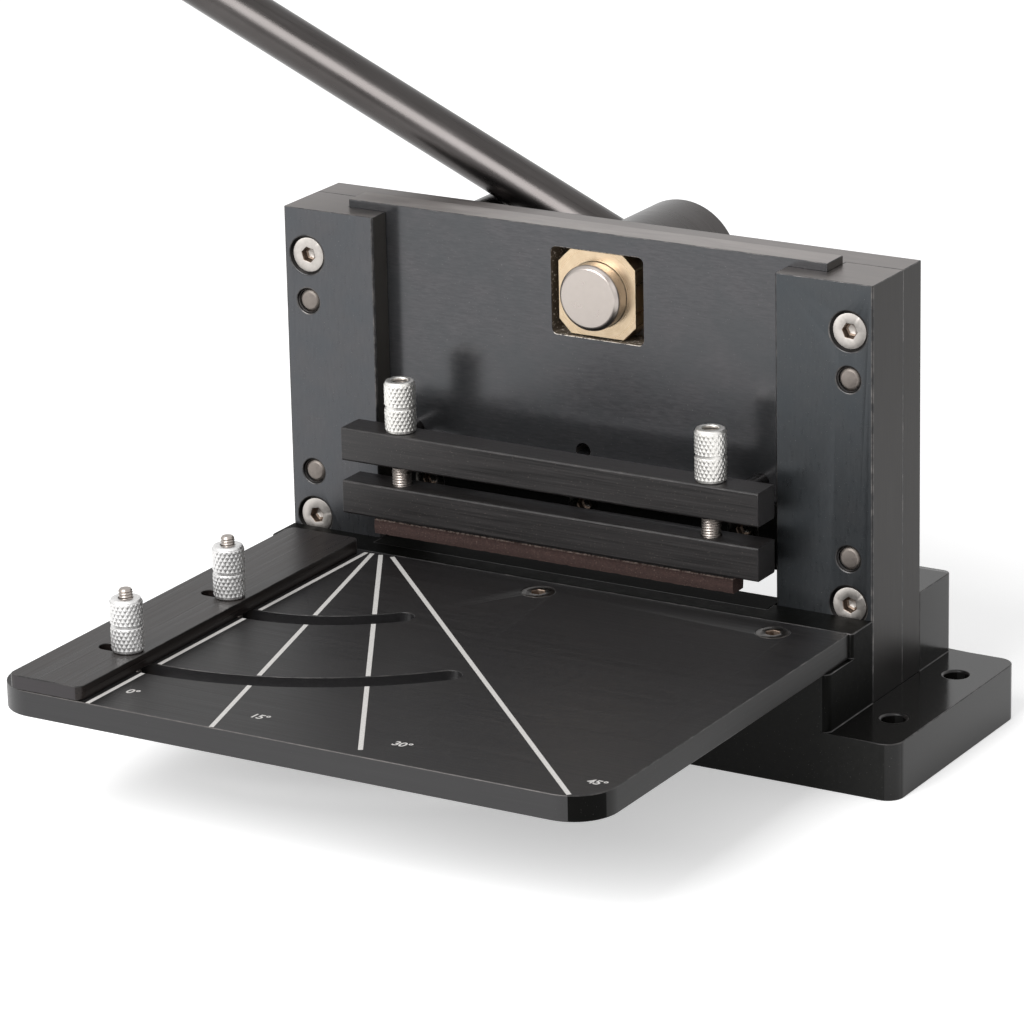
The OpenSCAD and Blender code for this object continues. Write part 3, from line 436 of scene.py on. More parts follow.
def baked(piece):
    """Turns a piece's modifiers into its plain mesh."""
    graph = bpy.context.evaluated_depsgraph_get()
    mesh = bpy.data.meshes.new_from_object(piece.evaluated_get(graph), depsgraph=graph)
    piece.modifiers.clear()
    piece.data = mesh
    return piece


def broken_edges(piece, width_mm, edge_material=None, segments=2):
    """Rounds a piece's sharp edges, and gives the rounded strip the edge's own finish."""
    bevel = piece.modifiers.new("broken edges", "BEVEL")
    bevel.width = width_mm * MM
    bevel.segments = segments
    bevel.limit_method = "ANGLE"
    bevel.angle_limit = math.radians(SHARP)
    bevel.use_clamp_overlap = False
    bevel.harden_normals = True
    if edge_material:
        piece.data.materials.append(edge_material)
        bevel.material = len(piece.data.materials) - 1
    return baked(piece)


def seated(piece, node):
    """Puts a finished piece on its CAD node's body, in that node's place."""
    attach(piece, NODE_BODY[node])
    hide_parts(node)
    return piece


def dressed(node, name, material, edge_material, edge_mm=0.3, finishes=()):
    """A CAD node's own shape, with its flat faces made whole and its edges broken. finishes holds
    pairs of a test on a face and the material of the faces that pass it; the last one passed holds."""
    shape = bmesh.new()
    shape.from_mesh(frame["nodes"][node].data)
    bmesh.ops.remove_doubles(shape, verts=shape.verts[:], dist=0.001 * MM)
    bmesh.ops.dissolve_limit(
        shape, angle_limit=math.radians(0.3), verts=shape.verts[:], edges=shape.edges[:])
    mesh = bpy.data.meshes.new(name)
    mesh.materials.append(material)
    for index, (passes, finish) in enumerate(finishes, 1):
        mesh.materials.append(finish)
        for face in shape.faces:
            if passes(face):
                face.material_index = index
    shape.to_mesh(mesh)
    shape.free()
    piece = shaded(linked(name, mesh))
    return seated(broken_edges(piece, edge_mm, edge_material), node)


def hexagon(apothem, angle):
    """Radius of a hexagon of that apothem in a direction."""
    return apothem / math.cos((angle % (math.pi / 3)) - math.pi / 6)


def lathe(name, profile, origin, axis, material, sides=64, closed=False):
    """A turned shape. profile gives (radius, height) in mm along the axis, with a third item "hex"
    where the ring is a hexagon of that apothem; the walls between two such rings are a socket's.
    closed joins the last ring to the first."""
    turn = UP.rotation_difference(Vector(axis)).to_matrix()
    shape = bmesh.new()
    rings = []
    for radius, height, *kind in profile:
        ring = []
        for i in range(sides if radius else 1):
            angle = 2 * math.pi * i / sides
            reach = hexagon(radius, angle) if kind else radius
            point = Vector((reach * math.cos(angle), reach * math.sin(angle), height)) * MM
            ring.append(shape.verts.new(Vector(origin) + turn @ point))
        rings.append((ring, bool(kind)))
    pairs = list(zip(rings, rings[1:])) + ([(rings[-1], rings[0])] if closed else [])
    for (a, a_hex), (b, b_hex) in pairs:
        for i in range(sides):
            j = (i + 1) % sides
            corners = [a[i % len(a)], a[j % len(a)], b[j % len(b)], b[i % len(b)]]
            shape.faces.new(list(dict.fromkeys(corners))).material_index = int(a_hex and b_hex)
    bmesh.ops.recalc_face_normals(shape, faces=shape.faces[:])
    mesh = bpy.data.meshes.new(name)
    shape.to_mesh(mesh)
    shape.free()
    mesh.materials.append(material)
    if any(is_hex for ring, is_hex in rings):
        mesh.materials.append(SOCKET_WALL)
    return shaded(linked(name, mesh))


def joined(name, pieces):
    """Several finished meshes as one piece."""
    shape = bmesh.new()
    mesh = bpy.data.meshes.new(name)
    for piece in pieces:
        first = len(shape.faces)
        offset = len(mesh.materials)
        for material in piece.data.materials:
            mesh.materials.append(material)
        shape.from_mesh(piece.data)
        shape.faces.ensure_lookup_table()
        for face in shape.faces[first:]:
            face.material_index += offset
    shape.to_mesh(mesh)
    shape.free()
    for piece in pieces:
        bpy.data.objects.remove(piece)
    return linked(name, mesh)


# Tests that pick the faces with a finish of their own

# A face looks straight along an axis where more than STRAIGHT of its normal lies along it, and stands
# along that axis where less than ACROSS does.
STRAIGHT, ACROSS = 0.95, 0.3
BED_BACK_Y = -4 * MM
BED_FOOT_Z = 20 * MM
TABLE_CORNER_Y = -170 * MM
WINDOW_REACH = 20 * MM


def upward(face):
    """Faces that look straight up."""
    return face.normal.z > STRAIGHT


def edgeward(face):
    """Faces that stand upright."""
    return abs(face.normal.z) < ACROSS


def frontward(face):
    """Faces that look straight to the front."""
    return face.normal.y < -STRAIGHT


def sideward(face):
    """Faces that look straight to the left or right."""
    return abs(face.normal.x) > STRAIGHT


def cornered(face):
    """The table's rounded front right corner, between its front and its side."""
    place = face.calc_center_median()
    rounded = edgeward(face) and not frontward(face) and not sideward(face)
    return rounded and place.y < TABLE_CORNER_Y and place.x > 0


def conical(face):
    """Countersinks, whose faces slant between the front and the bore."""
    return 0.5 < abs(face.normal.y) < 0.9


def in_window(face):
    """The walls of the ram's window."""
    away = face.calc_center_median() - PIN_AXIS
    return abs(face.normal.y) < 0.5 and max(abs(away.x), abs(away.z)) < WINDOW_REACH


def on_bed(face):
    """The raised bed in front of the gibs, under and behind the table."""
    place = face.calc_center_median()
    return place.y < BED_BACK_Y and place.z > BED_FOOT_Z


# Geometry node trees for what repeats

def shape_tree(name, inputs):
    """A geometry tree with named number inputs, its input node and its output node."""
    tree = bpy.data.node_groups.new(name, "GeometryNodeTree")
    tree.interface.new_socket("Geometry", in_out="INPUT", socket_type="NodeSocketGeometry")
    for label, kind in inputs.items():
        tree.interface.new_socket(label, in_out="INPUT", socket_type=kind)
    tree.interface.new_socket("Geometry", in_out="OUTPUT", socket_type="NodeSocketGeometry")
    return tree, tree.nodes.new("NodeGroupInput"), tree.nodes.new("NodeGroupOutput")


def grown(name, tree, settings, start=None):
    """Runs a geometry tree on an object and keeps the plain mesh it makes."""
    piece = linked(name, start or bpy.data.meshes.new(name))
    modifier = piece.modifiers.new(tree.name, "NODES")
    modifier.node_group = tree
    for item in tree.interface.items_tree:
        if item.in_out == "INPUT" and item.name in settings:
            modifier[item.identifier] = settings[item.name]
    return baked(piece)


def wrapped_tree(name, ways):
    """A tree that wraps a fine grid round Z and lowers it along helical grooves, one set for each of
    the ways they climb: two make a diamond knurl, and one a screw thread. Across the grooves the
    surface rises and falls in a triangle wave, which PINGPONG gives."""
    tree, given, out = shape_tree(name, {
        "Radius": "NodeSocketFloat", "Height": "NodeSocketFloat", "Depth": "NodeSocketFloat",
        "Starts": "NodeSocketFloat", "Pitch": "NodeSocketFloat", "Around": "NodeSocketInt",
        "Along": "NodeSocketInt", "Finish": "NodeSocketMaterial"})
    take = given.outputs
    grid = add(tree, "GeometryNodeMeshGrid", {
        "Size X": 1.0, "Size Y": 1.0, "Vertices X": take["Around"], "Vertices Y": take["Along"]})
    place = add(tree, "ShaderNodeSeparateXYZ", {0: add(tree, "GeometryNodeInputPosition").outputs[0]})
    turn = place.outputs["X"]
    share = add(tree, "ShaderNodeMath", {0: place.outputs["Y"], 1: 0.5}, operation="ADD").outputs[0]
    height = add(tree, "ShaderNodeMath", {0: share, 1: take["Height"]}, operation="MULTIPLY").outputs[0]
    around = add(tree, "ShaderNodeMath", {0: turn, 1: take["Starts"]}, operation="MULTIPLY").outputs[0]
    climb = add(tree, "ShaderNodeMath", {0: height, 1: take["Pitch"]}, operation="DIVIDE").outputs[0]
    waves = []
    for way in ways:
        phase = add(tree, "ShaderNodeMath", {0: climb, 1: around}, operation=way).outputs[0]
        waves.append(add(tree, "ShaderNodeMath", {0: phase, 1: 0.5}, operation="PINGPONG").outputs[0])
    lift = waves[0]
    for other in waves[1:]:
        lift = add(tree, "ShaderNodeMath", {0: lift, 1: other}, operation="MINIMUM").outputs[0]
    sunk = add(tree, "ShaderNodeMath", {0: 0.5, 1: lift}, operation="SUBTRACT").outputs[0]
    whole = add(tree, "ShaderNodeMath", {0: sunk, 1: 2.0}, operation="MULTIPLY").outputs[0]
    drop = add(tree, "ShaderNodeMath", {0: whole, 1: take["Depth"]}, operation="MULTIPLY").outputs[0]
    radius = add(tree, "ShaderNodeMath", {0: take["Radius"], 1: drop}, operation="SUBTRACT").outputs[0]
    angle = add(tree, "ShaderNodeMath", {0: turn, 1: 2 * math.pi}, operation="MULTIPLY").outputs[0]
    axes = []
    for side in ("COSINE", "SINE"):
        ratio = add(tree, "ShaderNodeMath", {0: angle}, operation=side).outputs[0]
        axes.append(add(tree, "ShaderNodeMath", {0: ratio, 1: radius}, operation="MULTIPLY").outputs[0])
    where = add(tree, "ShaderNodeCombineXYZ", {0: axes[0], 1: axes[1], 2: height})
    moved = add(tree, "GeometryNodeSetPosition", {
        "Geometry": grid.outputs["Mesh"], "Position": where.outputs[0]})
    sewn = add(tree, "GeometryNodeMergeByDistance", {"Geometry": moved.outputs[0], "Distance": 0.01 * MM})
    plain = add(tree, "GeometryNodeRealizeInstances", {"Geometry": sewn.outputs[0]})
    painted = add(tree, "GeometryNodeSetMaterial", {
        "Geometry": plain.outputs[0], "Material": take["Finish"]})
    tree.links.new(painted.outputs[0], out.inputs[0])
    return tree


def fastener_tree():
    """A tree that sets one fastener on each point, turned by a seeded random angle about its axis,
    and gives it its finish, apart from its socket's walls."""
    tree, given, out = shape_tree("fasteners on points", {
        "Fastener": "NodeSocketObject", "Axis turn": "NodeSocketRotation", "Seed": "NodeSocketInt",
        "Finish": "NodeSocketMaterial"})
    shape = add(tree, "GeometryNodeObjectInfo", {"Object": given.outputs["Fastener"]})
    spin = add(tree, "FunctionNodeRandomValue", {
        "Min": (0, 0, 0), "Max": (0, 0, math.pi / 3), "Seed": given.outputs["Seed"]},
        data_type="FLOAT_VECTOR")
    spun = add(tree, "FunctionNodeEulerToRotation", {0: spin.outputs[0]})
    turned = add(tree, "FunctionNodeRotateRotation", {
        "Rotation": given.outputs["Axis turn"], "Rotate By": spun.outputs[0]}, rotation_space="LOCAL")
    placed = add(tree, "GeometryNodeInstanceOnPoints", {
        "Points": given.outputs["Geometry"], "Instance": shape.outputs["Geometry"],
        "Rotation": turned.outputs[0]})
    plain = add(tree, "GeometryNodeRealizeInstances", {"Geometry": placed.outputs[0]})
    socket = add(tree, "GeometryNodeMaterialSelection", {"Material": SOCKET_WALL})
    outside = add(tree, "FunctionNodeBooleanMath", {0: socket.outputs[0]}, operation="NOT")
    painted = add(tree, "GeometryNodeSetMaterial", {
        "Geometry": plain.outputs[0], "Selection": outside.outputs[0], "Material": given.outputs["Finish"]})
    tree.links.new(painted.outputs[0], out.inputs[0])
    return tree


KNURL = wrapped_tree("diamond knurl", ("SUBTRACT", "ADD"))
THREAD = wrapped_tree("screw thread", ("SUBTRACT",))
FASTENERS = fastener_tree()


# Fasteners, with their sizes in mm

def flat_head(shank, head, length, key):
    """The profile of a flat-head socket screw, its face at height 0 and its point down. lip is the
    height of its socket's chamfer and of its head's rim."""
    socket, lip = key / 2, 0.25
    tip, cone, wall = -0.75 * key, -0.62 * key, -0.55 * key
    return [(0, tip), (socket * 0.7, cone, "hex"), (socket, wall, "hex"), (socket, -lip, "hex"),
            (socket + lip, 0, "hex"), (head / 2, 0), (head / 2, -lip),
            (shank / 2, -(head - shank) / 2), (shank / 2, -length), (0, -length)]


def cap_head(shank, head, head_h, length, key):
    """The profile of a socket cap screw, its head's face at height 0 and its point down."""
    socket, lip, rim = key / 2, 0.2, 0.5
    tip, wall = -0.6 * key, -0.55 * key
    return [(0, tip), (socket, wall, "hex"), (socket, -lip, "hex"), (socket + lip, 0, "hex"),
            (head / 2 - rim, 0), (head / 2, -rim), (head / 2, -head_h), (shank / 2, -head_h),
            (shank / 2, -length), (0, -length)]


def dowel(width, length):
    """The profile of a dowel with a chamfered end at height 0."""
    r, cut = width / 2, 1
    return [(0, 0), (r - cut, 0), (r, -cut), (r, -length), (0, -length)]


def fasteners(node, name, points, facing, profile, material, seed=1):
    """Identical fasteners on a node's places, which look along facing."""
    sample = lathe(name + "_sample", profile, (0, 0, 0), UP, material, sides=48)
    sample = broken_edges(sample, 0.12)
    mesh = bpy.data.meshes.new(name)
    mesh.from_pydata(points, [], [])
    piece = grown(name, FASTENERS, {
        "Fastener": sample, "Axis turn": UP.rotation_difference(facing).to_euler(), "Seed": seed,
        "Finish": material}, mesh)
    bpy.data.objects.remove(sample)
    seated(shaded(piece), node)


def corners(node, head):
    """The places of four fasteners that face the front, at the corners of their node's box, and
    their length in mm."""
    low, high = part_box(node)
    r = head / 2 * MM
    places = [(x, low.y, z) for x in (low.x + r, high.x - r) for z in (low.z + r, high.z - r)]
    return places, (high.y - low.y) / MM


def row(node, facing, head, shares):
    """The places of a row of fasteners along X in their node's box, their heads on its face that
    looks along facing, and their length in mm. shares gives each place as a share of half the row,
    counted from its middle."""
    low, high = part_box(node)
    length = abs((high - low).dot(facing))
    face = (low + high) / 2 + facing * length / 2
    reach = (high.x - low.x) / 2 - head / 2 * MM
    return [face + RIGHT * reach * share for share in shares], length / MM


def gib_fasteners():
    """The screws and dowels that hold and place the gibs, two of each in a gib."""
    head, shank, key, dowel_width = 12.3, 6.35, 4.6, 7.94
    places, length = corners("gib_screws", head)
    fasteners("gib_screws", "gib_screw_set", places, FRONT, flat_head(shank, head, length, key),
              STAINLESS, seed=3)
    places, length = corners("gib_dowels", dowel_width)
    fasteners("gib_dowels", "gib_dowel_set", places, FRONT, dowel(dowel_width, length), DOWEL_STEEL)


def row_fasteners():
    """The flat-head screws of the table and the blades in threes, and the frame's bolts in pairs."""
    head, shank, key = 11.5, 6.35, 4.5
    for node, facing, finish in (
            ("table_screws", UP, DULL_STAINLESS), ("lower_blade_screws", BACK, SCREW_BLACK),
            ("upper_blade_screws", FRONT, SCREW_BLACK)):
        places, length = row(node, facing, head, (-1, 0, 1))
        fasteners(node, node + "_set", places, facing, flat_head(shank, head, length, key), finish, seed=5)
    head, shank, key = 12.0, 7.9, 6
    for node, facing in (("frame_bolts", -UP), ("ear_bolts", BACK)):
        places, length = row(node, facing, head, (-1, 1))
        profile = cap_head(shank, head, shank, length, key)
        fasteners(node, node + "_set", places, facing, profile, SCREW_BLACK)


# The pieces of the frame

TABLE_LOW, TABLE_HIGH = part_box("table")
GIB_FINISHES = [(upward, GIB_TOP_SHEEN), (sideward, GIB_FLANK_SHADED), (conical, GIB_MOUTH_SHADED)]
BUSHING_LOW, BUSHING_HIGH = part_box("shaft_bushing")
AXLE = Vector((0, 0, (BUSHING_LOW.z + BUSHING_HIGH.z) / 2))
JOURNAL_R, FLANGE_R, TAIL_R = 19.046, 20.496, 12.7


def table_plate():
    """The table, whose front edge carries a painted highlight, lighter than its other edges: the rounded
    strip between its top and its front."""
    edge = 1 * MM
    # The table's rounded front right corner takes the bed's painted shade.
    plate = dressed("table", "table_plate", TABLE_BLACK, EDGE_ANODISED, 0.3, [
        (edgeward, TABLE_EDGE), (sideward, TABLE_SIDE), (cornered, BED_SHADED)])
    # The front edge's rounded strip gets a painted highlight.
    plate.data.materials.append(EDGE_FRONT_HIGHLIGHT)
    for face in plate.data.polygons:
        if face.center.y < TABLE_LOW.y + edge and ACROSS < face.normal.z < STRAIGHT:
            face.material_index = len(plate.data.materials) - 1


def shaft_bushing():
    """The bronze bushing in the back plate, turned out in front for the shaft's flange."""
    outer = (BUSHING_HIGH.z - BUSHING_LOW.z) / 2 / MM
    length = (BUSHING_HIGH.y - BUSHING_LOW.y) / MM
    bore, recess, recess_t = JOURNAL_R + 0.05, FLANGE_R + 0.3, 3.2
    turned = lathe("shaft_bushing_turned", [
        (bore, length), (outer, length), (outer, 0), (recess, 0), (recess, recess_t), (bore, recess_t)],
        AXLE + BACK * BUSHING_LOW.y, BACK, BUSHING_BRONZE, closed=True)
    seated(broken_edges(turned, 0.2), "shaft_bushing")


def stop_pin():
    """The pin that the lever rests on, with a chamfered end."""
    low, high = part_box("lever_stop_pin")
    middle = (low + high) / 2
    r, length, cut = (high.z - low.z) / 2 / MM, (high.y - low.y) / MM, 1
    turned = lathe("lever_stop_pin_turned", [
        (0, 0), (r, 0), (r, length - cut), (r - cut, length), (0, length)],
        (middle.x, low.y, middle.z), BACK, LEVER_STEEL)
    seated(broken_edges(turned, 0.2), "lever_stop_pin")


# The raised bed takes a painted shade, and the front faces a painted light.
dressed("base", "base_block", BASE_BLACK, EDGE_ANODISED, 0.35, [
    (sideward, BASE_SIDE), (on_bed, BED_SHADED), (frontward, BASE_FRONT_LIT)])
table_plate()
dressed("left_gib", "left_gib_dressed", GIB_STEEL, EDGE_STEEL, 0.25, GIB_FINISHES + [(sideward, GIB_INNER_LIT)])
dressed("right_gib", "right_gib_dressed", GIB_STEEL_RIGHT_SHADED, EDGE_STEEL, 0.25, GIB_FINISHES)
dressed("back_plate", "back_plate_dressed", PLATE_STEEL, EDGE_STEEL, 0.3, [
    (upward, GIB_TOP_SHEEN), (sideward, GIB_FLANK_SHADED)])
dressed("lower_blade", "lower_blade_dressed", BLADE_STEEL, BLADE_STEEL, 0.1)
gib_fasteners()
row_fasteners()
shaft_bushing()
stop_pin()


# The pieces that ride on the ram

dressed("ram", "ram_plate", RAM_STEEL, EDGE_WINDOW, 0.25, [
    (upward, RAM_TOP_SHEEN), (sideward, GIB_INNER_LIT), (in_window, WINDOW_WALL_LIT)])
dressed("upper_blade", "upper_blade_dressed", BLADE_STEEL, EDGE_STEEL, 0.1)
dressed("upper_clamp_bar", "upper_clamp_bar_dressed", BAR_BLACK, EDGE_BAR, 0.2)
dressed("bar_standoffs", "bar_standoffs_dressed", LEVER_STEEL, LEVER_STEEL, 0.15)
dressed("bar_screws", "bar_screws_dressed", SCREW_BLACK, SCREW_BLACK, 0.15)


# The pieces that ride on the hold-down

dressed("lower_clamp_bar", "lower_clamp_bar_dressed", BAR_BLACK, EDGE_BAR, 0.2)


def leather_pad():
    """The strip of leather under the lower bar, on its black backing: knife-cut edges that wander
    a little and a face that bulges by a few tenths of a millimetre. The wander is two waves, each
    with its own phase, and a random share, in metres like the box."""
    low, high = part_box("clamp_pad")
    random.seed(11)
    steps = 280
    wander_by, inset, bulge, set_back, foot = 0.12 * MM, 0.3 * MM, 0.15 * MM, 0.7 * MM, 1.6 * MM
    front, back = low.y, high.y
    middle = (low.z + high.z) / 2
    seam = high.z - PAD_SEAM
    phases = [random.uniform(0, 6.3) for _ in range(12)]
    shape = bmesh.new()
    rings = []
    for i in range(steps + 1):
        x = low.x + (high.x - low.x) * i / steps
        wander = [wander_by * (math.sin(x * 310 + phases[k]) + 0.6 * math.sin(x * 1270 + phases[k + 4])
                               + random.uniform(-0.9, 0.9)) for k in range(4)]
        corners = [
            (front + inset, low.z + inset + abs(wander[0])), (front, low.z + foot + wander[1]),
            (front - bulge, (low.z + seam) / 2), (front + abs(wander[2]), seam - 0.5 * MM),
            (front + inset, seam + wander[1] / 2), (front + set_back, seam),
            (front + set_back, high.z), (back - inset, high.z), (back, middle),
            (back - inset, low.z + inset + abs(wander[3]))]
        rings.append([shape.verts.new((x, y, z)) for y, z in corners])
    backing_sides = (5, 6)
    count = len(rings[0])
    for a, b in zip(rings, rings[1:]):
        for k in range(count):
            face = shape.faces.new([a[k], a[(k + 1) % count], b[(k + 1) % count], b[k]])
            face.material_index = int(k in backing_sides)
    for ring in (rings[0], rings[-1]):
        shape.faces.new(ring)
    bmesh.ops.recalc_face_normals(shape, faces=shape.faces[:])
    mesh = bpy.data.meshes.new("leather_pad")
    shape.to_mesh(mesh)
    shape.free()
    mesh.materials.append(LEATHER)
    mesh.materials.append(BACKING)
    pad = seated(shaded(linked("leather_pad", mesh), 50), "clamp_pad")


leather_pad()


# Threads and knurls, with their sizes in mm

KNURL_DEPTH, KNURL_PITCH, KNURL_STARTS = 0.24, 2.7, 21
THREAD_DEPTH, THREAD_PITCH = 0.4, 0.95


def threaded_rod(name, x, y, z0, z1, radius, material):
    """A stud with a real screw thread and a chamfered top, from z0 to z1 in metres. Its core stands
    just inside the thread's root and closes it above."""
    top, around, per_pitch, fewest = 0.6, 73, 8, 12
    length = z1 - z0 - top * MM
    rings = max(fewest, int(length / MM / THREAD_PITCH * per_pitch))
    thread = grown(name + "_thread", THREAD, {
        "Radius": radius * MM, "Height": length, "Depth": THREAD_DEPTH * MM, "Starts": 1.0,
        "Pitch": THREAD_PITCH * MM, "Around": around, "Along": rings, "Finish": material})
    thread.data.transform(Matrix.Translation((x, y, z0)))
    shaded(thread, 75)
    end, root = length / MM, radius - THREAD_DEPTH - 0.05
    core = lathe(name + "_core", [
        (0, 0), (root, 0), (root, end - 0.05), (radius - 0.1, end - 0.02), (root - 0.1, end + top),
        (0, end + top)], (x, y, z0), UP, material, sides=48)
    return joined(name, [thread, core])


def knurled_nut(node, bore, mouth, finish):
    """A round nut with two diamond-knurled bands, a groove between them and plain, rounded ends.
    mouth is the bore's radius in its top 0.9 mm, over the stud's end, or the bore's own. The bands'
    grids have 10 steps to a groove around and 16 to a pitch along."""
    low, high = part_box(node)
    middle = (low + high) / 2
    r = (high.x - low.x) / 2 / MM
    length = (high.z - low.z) / MM
    plain, groove, relief, cut, slope, lip, mouth_t = 1.2, 1.4, 0.4, 0.35, 0.1, 0.25, 0.9
    band = (length - 2 * plain - groove) / 2
    around, along = KNURL_STARTS * 10 + 1, int(band / KNURL_PITCH * 16) + 1
    upper = plain + band + groove
    root = r - KNURL_DEPTH - 0.02
    flat = r - relief
    core = lathe(node + "_core", [
        (bore, 0), (flat - cut, 0), (flat, cut), (flat, plain - slope), (root, plain),
        (root, plain + band), (flat, plain + band + slope), (flat, upper - slope), (root, upper),
        (root, length - plain), (flat, length - plain + slope), (flat, length - 0.8),
        (flat - lip, length - lip), (flat - 0.8, length), (mouth + lip, length), (mouth, length - lip),
        (mouth, length - mouth_t), (bore, length - mouth_t - 0.1)],
        (middle.x, middle.y, low.z), UP, finish, closed=True)
    core = shaded(broken_edges(core, 0.08), 50)
    bands = []
    for i, z in enumerate((plain, upper)):
        knurl = grown(f"{node}_knurl_{i}", KNURL, {
            "Radius": r * MM, "Height": band * MM, "Depth": KNURL_DEPTH * MM,
            "Starts": float(KNURL_STARTS), "Pitch": KNURL_PITCH * MM, "Around": around, "Along": along,
            "Finish": finish})
        knurl.data.transform(Matrix.Translation((middle.x, middle.y, low.z + z * MM)))
        bands.append(shaded(knurl, 70))
    seated(joined(node + "_turned", [core] + bands), node)


def clamp_studs():
    """The two studs that the lower bar hangs on, one for each knob."""
    low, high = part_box("clamp_studs")
    r = (high.y - low.y) / 2 / MM
    seated(joined("clamp_studs_threaded", [
        threaded_rod(f"stud_{side}", x, (low.y + high.y) / 2, low.z, high.z, r, STUD_STEEL)
        for side, x in (("left", low.x + r * MM), ("right", high.x - r * MM))]), "clamp_studs")


clamp_studs()
for node in ("left_clamp_knob", "right_clamp_knob"):
    knurled_nut(node, bore=3.55, mouth=2.9, finish=ZINC)


# The pieces that turn with the lever

def eccentric():
    """The shaft and its pin: one ground piece, the pin's end chamfered and rounded at its rim."""
    low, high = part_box("eccentric_shaft")
    block_back = BLOCK_BOX[1].y
    pin_r, cut, pin_root, flange_t, journal_l = 11.6, 1.3, 1.2, 3, 15.2
    pin_l = (block_back - low.y) / MM + pin_root
    pin = lathe("pin", [
        (0, 0), (pin_r - cut, 0), (pin_r, cut), (pin_r, pin_l), (0, pin_l)],
        (PIN_AXIS.x, low.y, PIN_AXIS.z), BACK, PIN_STEEL, sides=96)
    pin = broken_edges(pin, 0.5, segments=4)
    flange_y = block_back + 0.3 * MM
    shaft_l = (high.y - flange_y) / MM
    shaft = lathe("shaft", [
        (0, 0), (FLANGE_R, 0), (FLANGE_R, flange_t), (JOURNAL_R, flange_t), (JOURNAL_R, journal_l),
        (TAIL_R, journal_l), (TAIL_R, shaft_l), (0, shaft_l)],
        AXLE + BACK * flange_y, BACK, PIN_STEEL, sides=96)
    shaft = broken_edges(shaft, 0.2)
    seated(joined("eccentric_shaft_ground", [pin, shaft]), "eccentric_shaft")


def lever():
    """The lever's drawn tube and the plug in its far end."""
    angle = math.radians(24.05)
    along = Vector((-math.cos(angle), 0, math.sin(angle)))
    reach, in_hub, wall, plug_l = 380, 16.9, 2.4, 14
    low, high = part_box("lever_tube")
    r = (high.y - low.y) / 2 / MM
    start = Vector((0, (low.y + high.y) / 2, AXLE.z)) - along * in_hub * MM
    length = reach + in_hub
    tube = lathe("lever_tube_drawn", [
        (r - wall, 0), (r, 0), (r, length), (r - wall, length)],
        start, along, LEVER_STEEL, sides=96, closed=True)
    seated(broken_edges(tube, 0.3), "lever_tube")
    inner = r - wall - 0.05
    plug = lathe("lever_plug_moulded", [
        (0, -plug_l), (inner, -plug_l), (inner, 0), (r, 0), (r, 2), (r - 0.8, 3.4), (r - 2, 4), (0, 4)],
        start + along * length * MM, along, PLUG_PLASTIC)
    seated(broken_edges(plug, 0.3), "lever_plug")


eccentric()
dressed("slide_block", "slide_block_milled", BRONZE, EDGE_BRONZE_HIGHLIGHT, 0.25)
dressed("lever_hub", "lever_hub_turned", LEVER_STEEL, LEVER_STEEL, 0.3)
dressed("hub_pin", "hub_pin_dressed", STAINLESS, STAINLESS, 0.2)
dressed("hub_screw", "hub_screw_dressed", SCREW_BLACK, SCREW_BLACK, 0.2)
dressed("thrust_washer", "thrust_washer_turned", BUSHING_BRONZE, BUSHING_BRONZE, 0.15)
lever()


# The fence and its nuts

FENCE_NUTS = ("front_fence_nut", "rear_fence_nut")


def fence_studs():
    """The fence's studs: each has a head under the table and a plain neck in its arc slot, and its
    thread stands up from the neck, through the fence and the nut."""
    low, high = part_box("fence_studs")
    head_r, head_t, neck_r, neck_l, thread_r = 6.95, 3, 4.15, 8.6, 2.4
    neck_top = (TABLE_LOW.z - low.z) / MM + neck_l
    studs = []
    for i, node in enumerate(FENCE_NUTS):
        nut_low, nut_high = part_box(node)
        x, y = (nut_low.x + nut_high.x) / 2, (nut_low.y + nut_high.y) / 2
        studs.append(lathe(f"stud_head_{i}", [
            (0, 0), (head_r, 0), (head_r, head_t), (neck_r, head_t), (neck_r, neck_top), (0, neck_top)],
            (x, y, low.z), UP, STUD_STEEL, sides=48))
        studs.append(threaded_rod(f"fence_stud_{i}", x, y, TABLE_LOW.z, high.z, thread_r, STUD_STEEL))
    seated(joined("fence_studs_threaded", studs), "fence_studs")


dressed("fence_bar", "fence_bar_dressed", FENCE_BLACK, EDGE_ANODISED, 0.3, [(frontward, FENCE_END)])
fence_studs()
for node in FENCE_NUTS:
    knurled_nut(node, bore=2.45, mouth=2.45, finish=ZINC_HANDLED)


# The table's lines and numbers, in mm on its top

TABLE_TOP = TABLE_HIGH.z
LINE_W, LINE_T, LINE_GAP = 1.6, 0.03, 0.3
FAN_CENTRE = Vector((-74.6, -5.4))
FAN_START_Y = -16.5
FAN_ENDS_Y = {0: -185.2, 15: -185.0, 30: -180.4, 45: -183.4}
ZERO_LINE_SHIFT = 0.6
SLOT_CENTRE = Vector((-76.5, -22.0))
SLOT_W = 8.9
SLOT_RADII = (66.92, 126.97)
SLOT_END_X = (-29, 13)
FIGURES = {"0°": (-69.2, -171.4), "15°": (-21.1, -171.8), "30°": (32.2, -172.0), "45°": (102.6, -172.2)}
FIGURE_SIZE, FIGURE_LEAN, FIGURE_WEIGHT, FIGURE_SPACE = 4.9, 0.08, 0.09, 0.95


def painted_strip(shape, start, end):
    """A thin strip of paint on the table between two points in mm."""
    along = (end - start).normalized()
    side = Vector((-along.y, along.x)) * LINE_W / 2
    corners = [start + side, start - side, end - side, end + side]
    rings = [[shape.verts.new((c.x * MM, c.y * MM, TABLE_TOP + h * MM)) for c in corners]
             for h in (-LINE_T, LINE_T)]
    shape.faces.new(rings[0])
    shape.faces.new(rings[1])
    for k in range(4):
        shape.faces.new([rings[0][k], rings[0][(k + 1) % 4], rings[1][(k + 1) % 4], rings[1][k]])


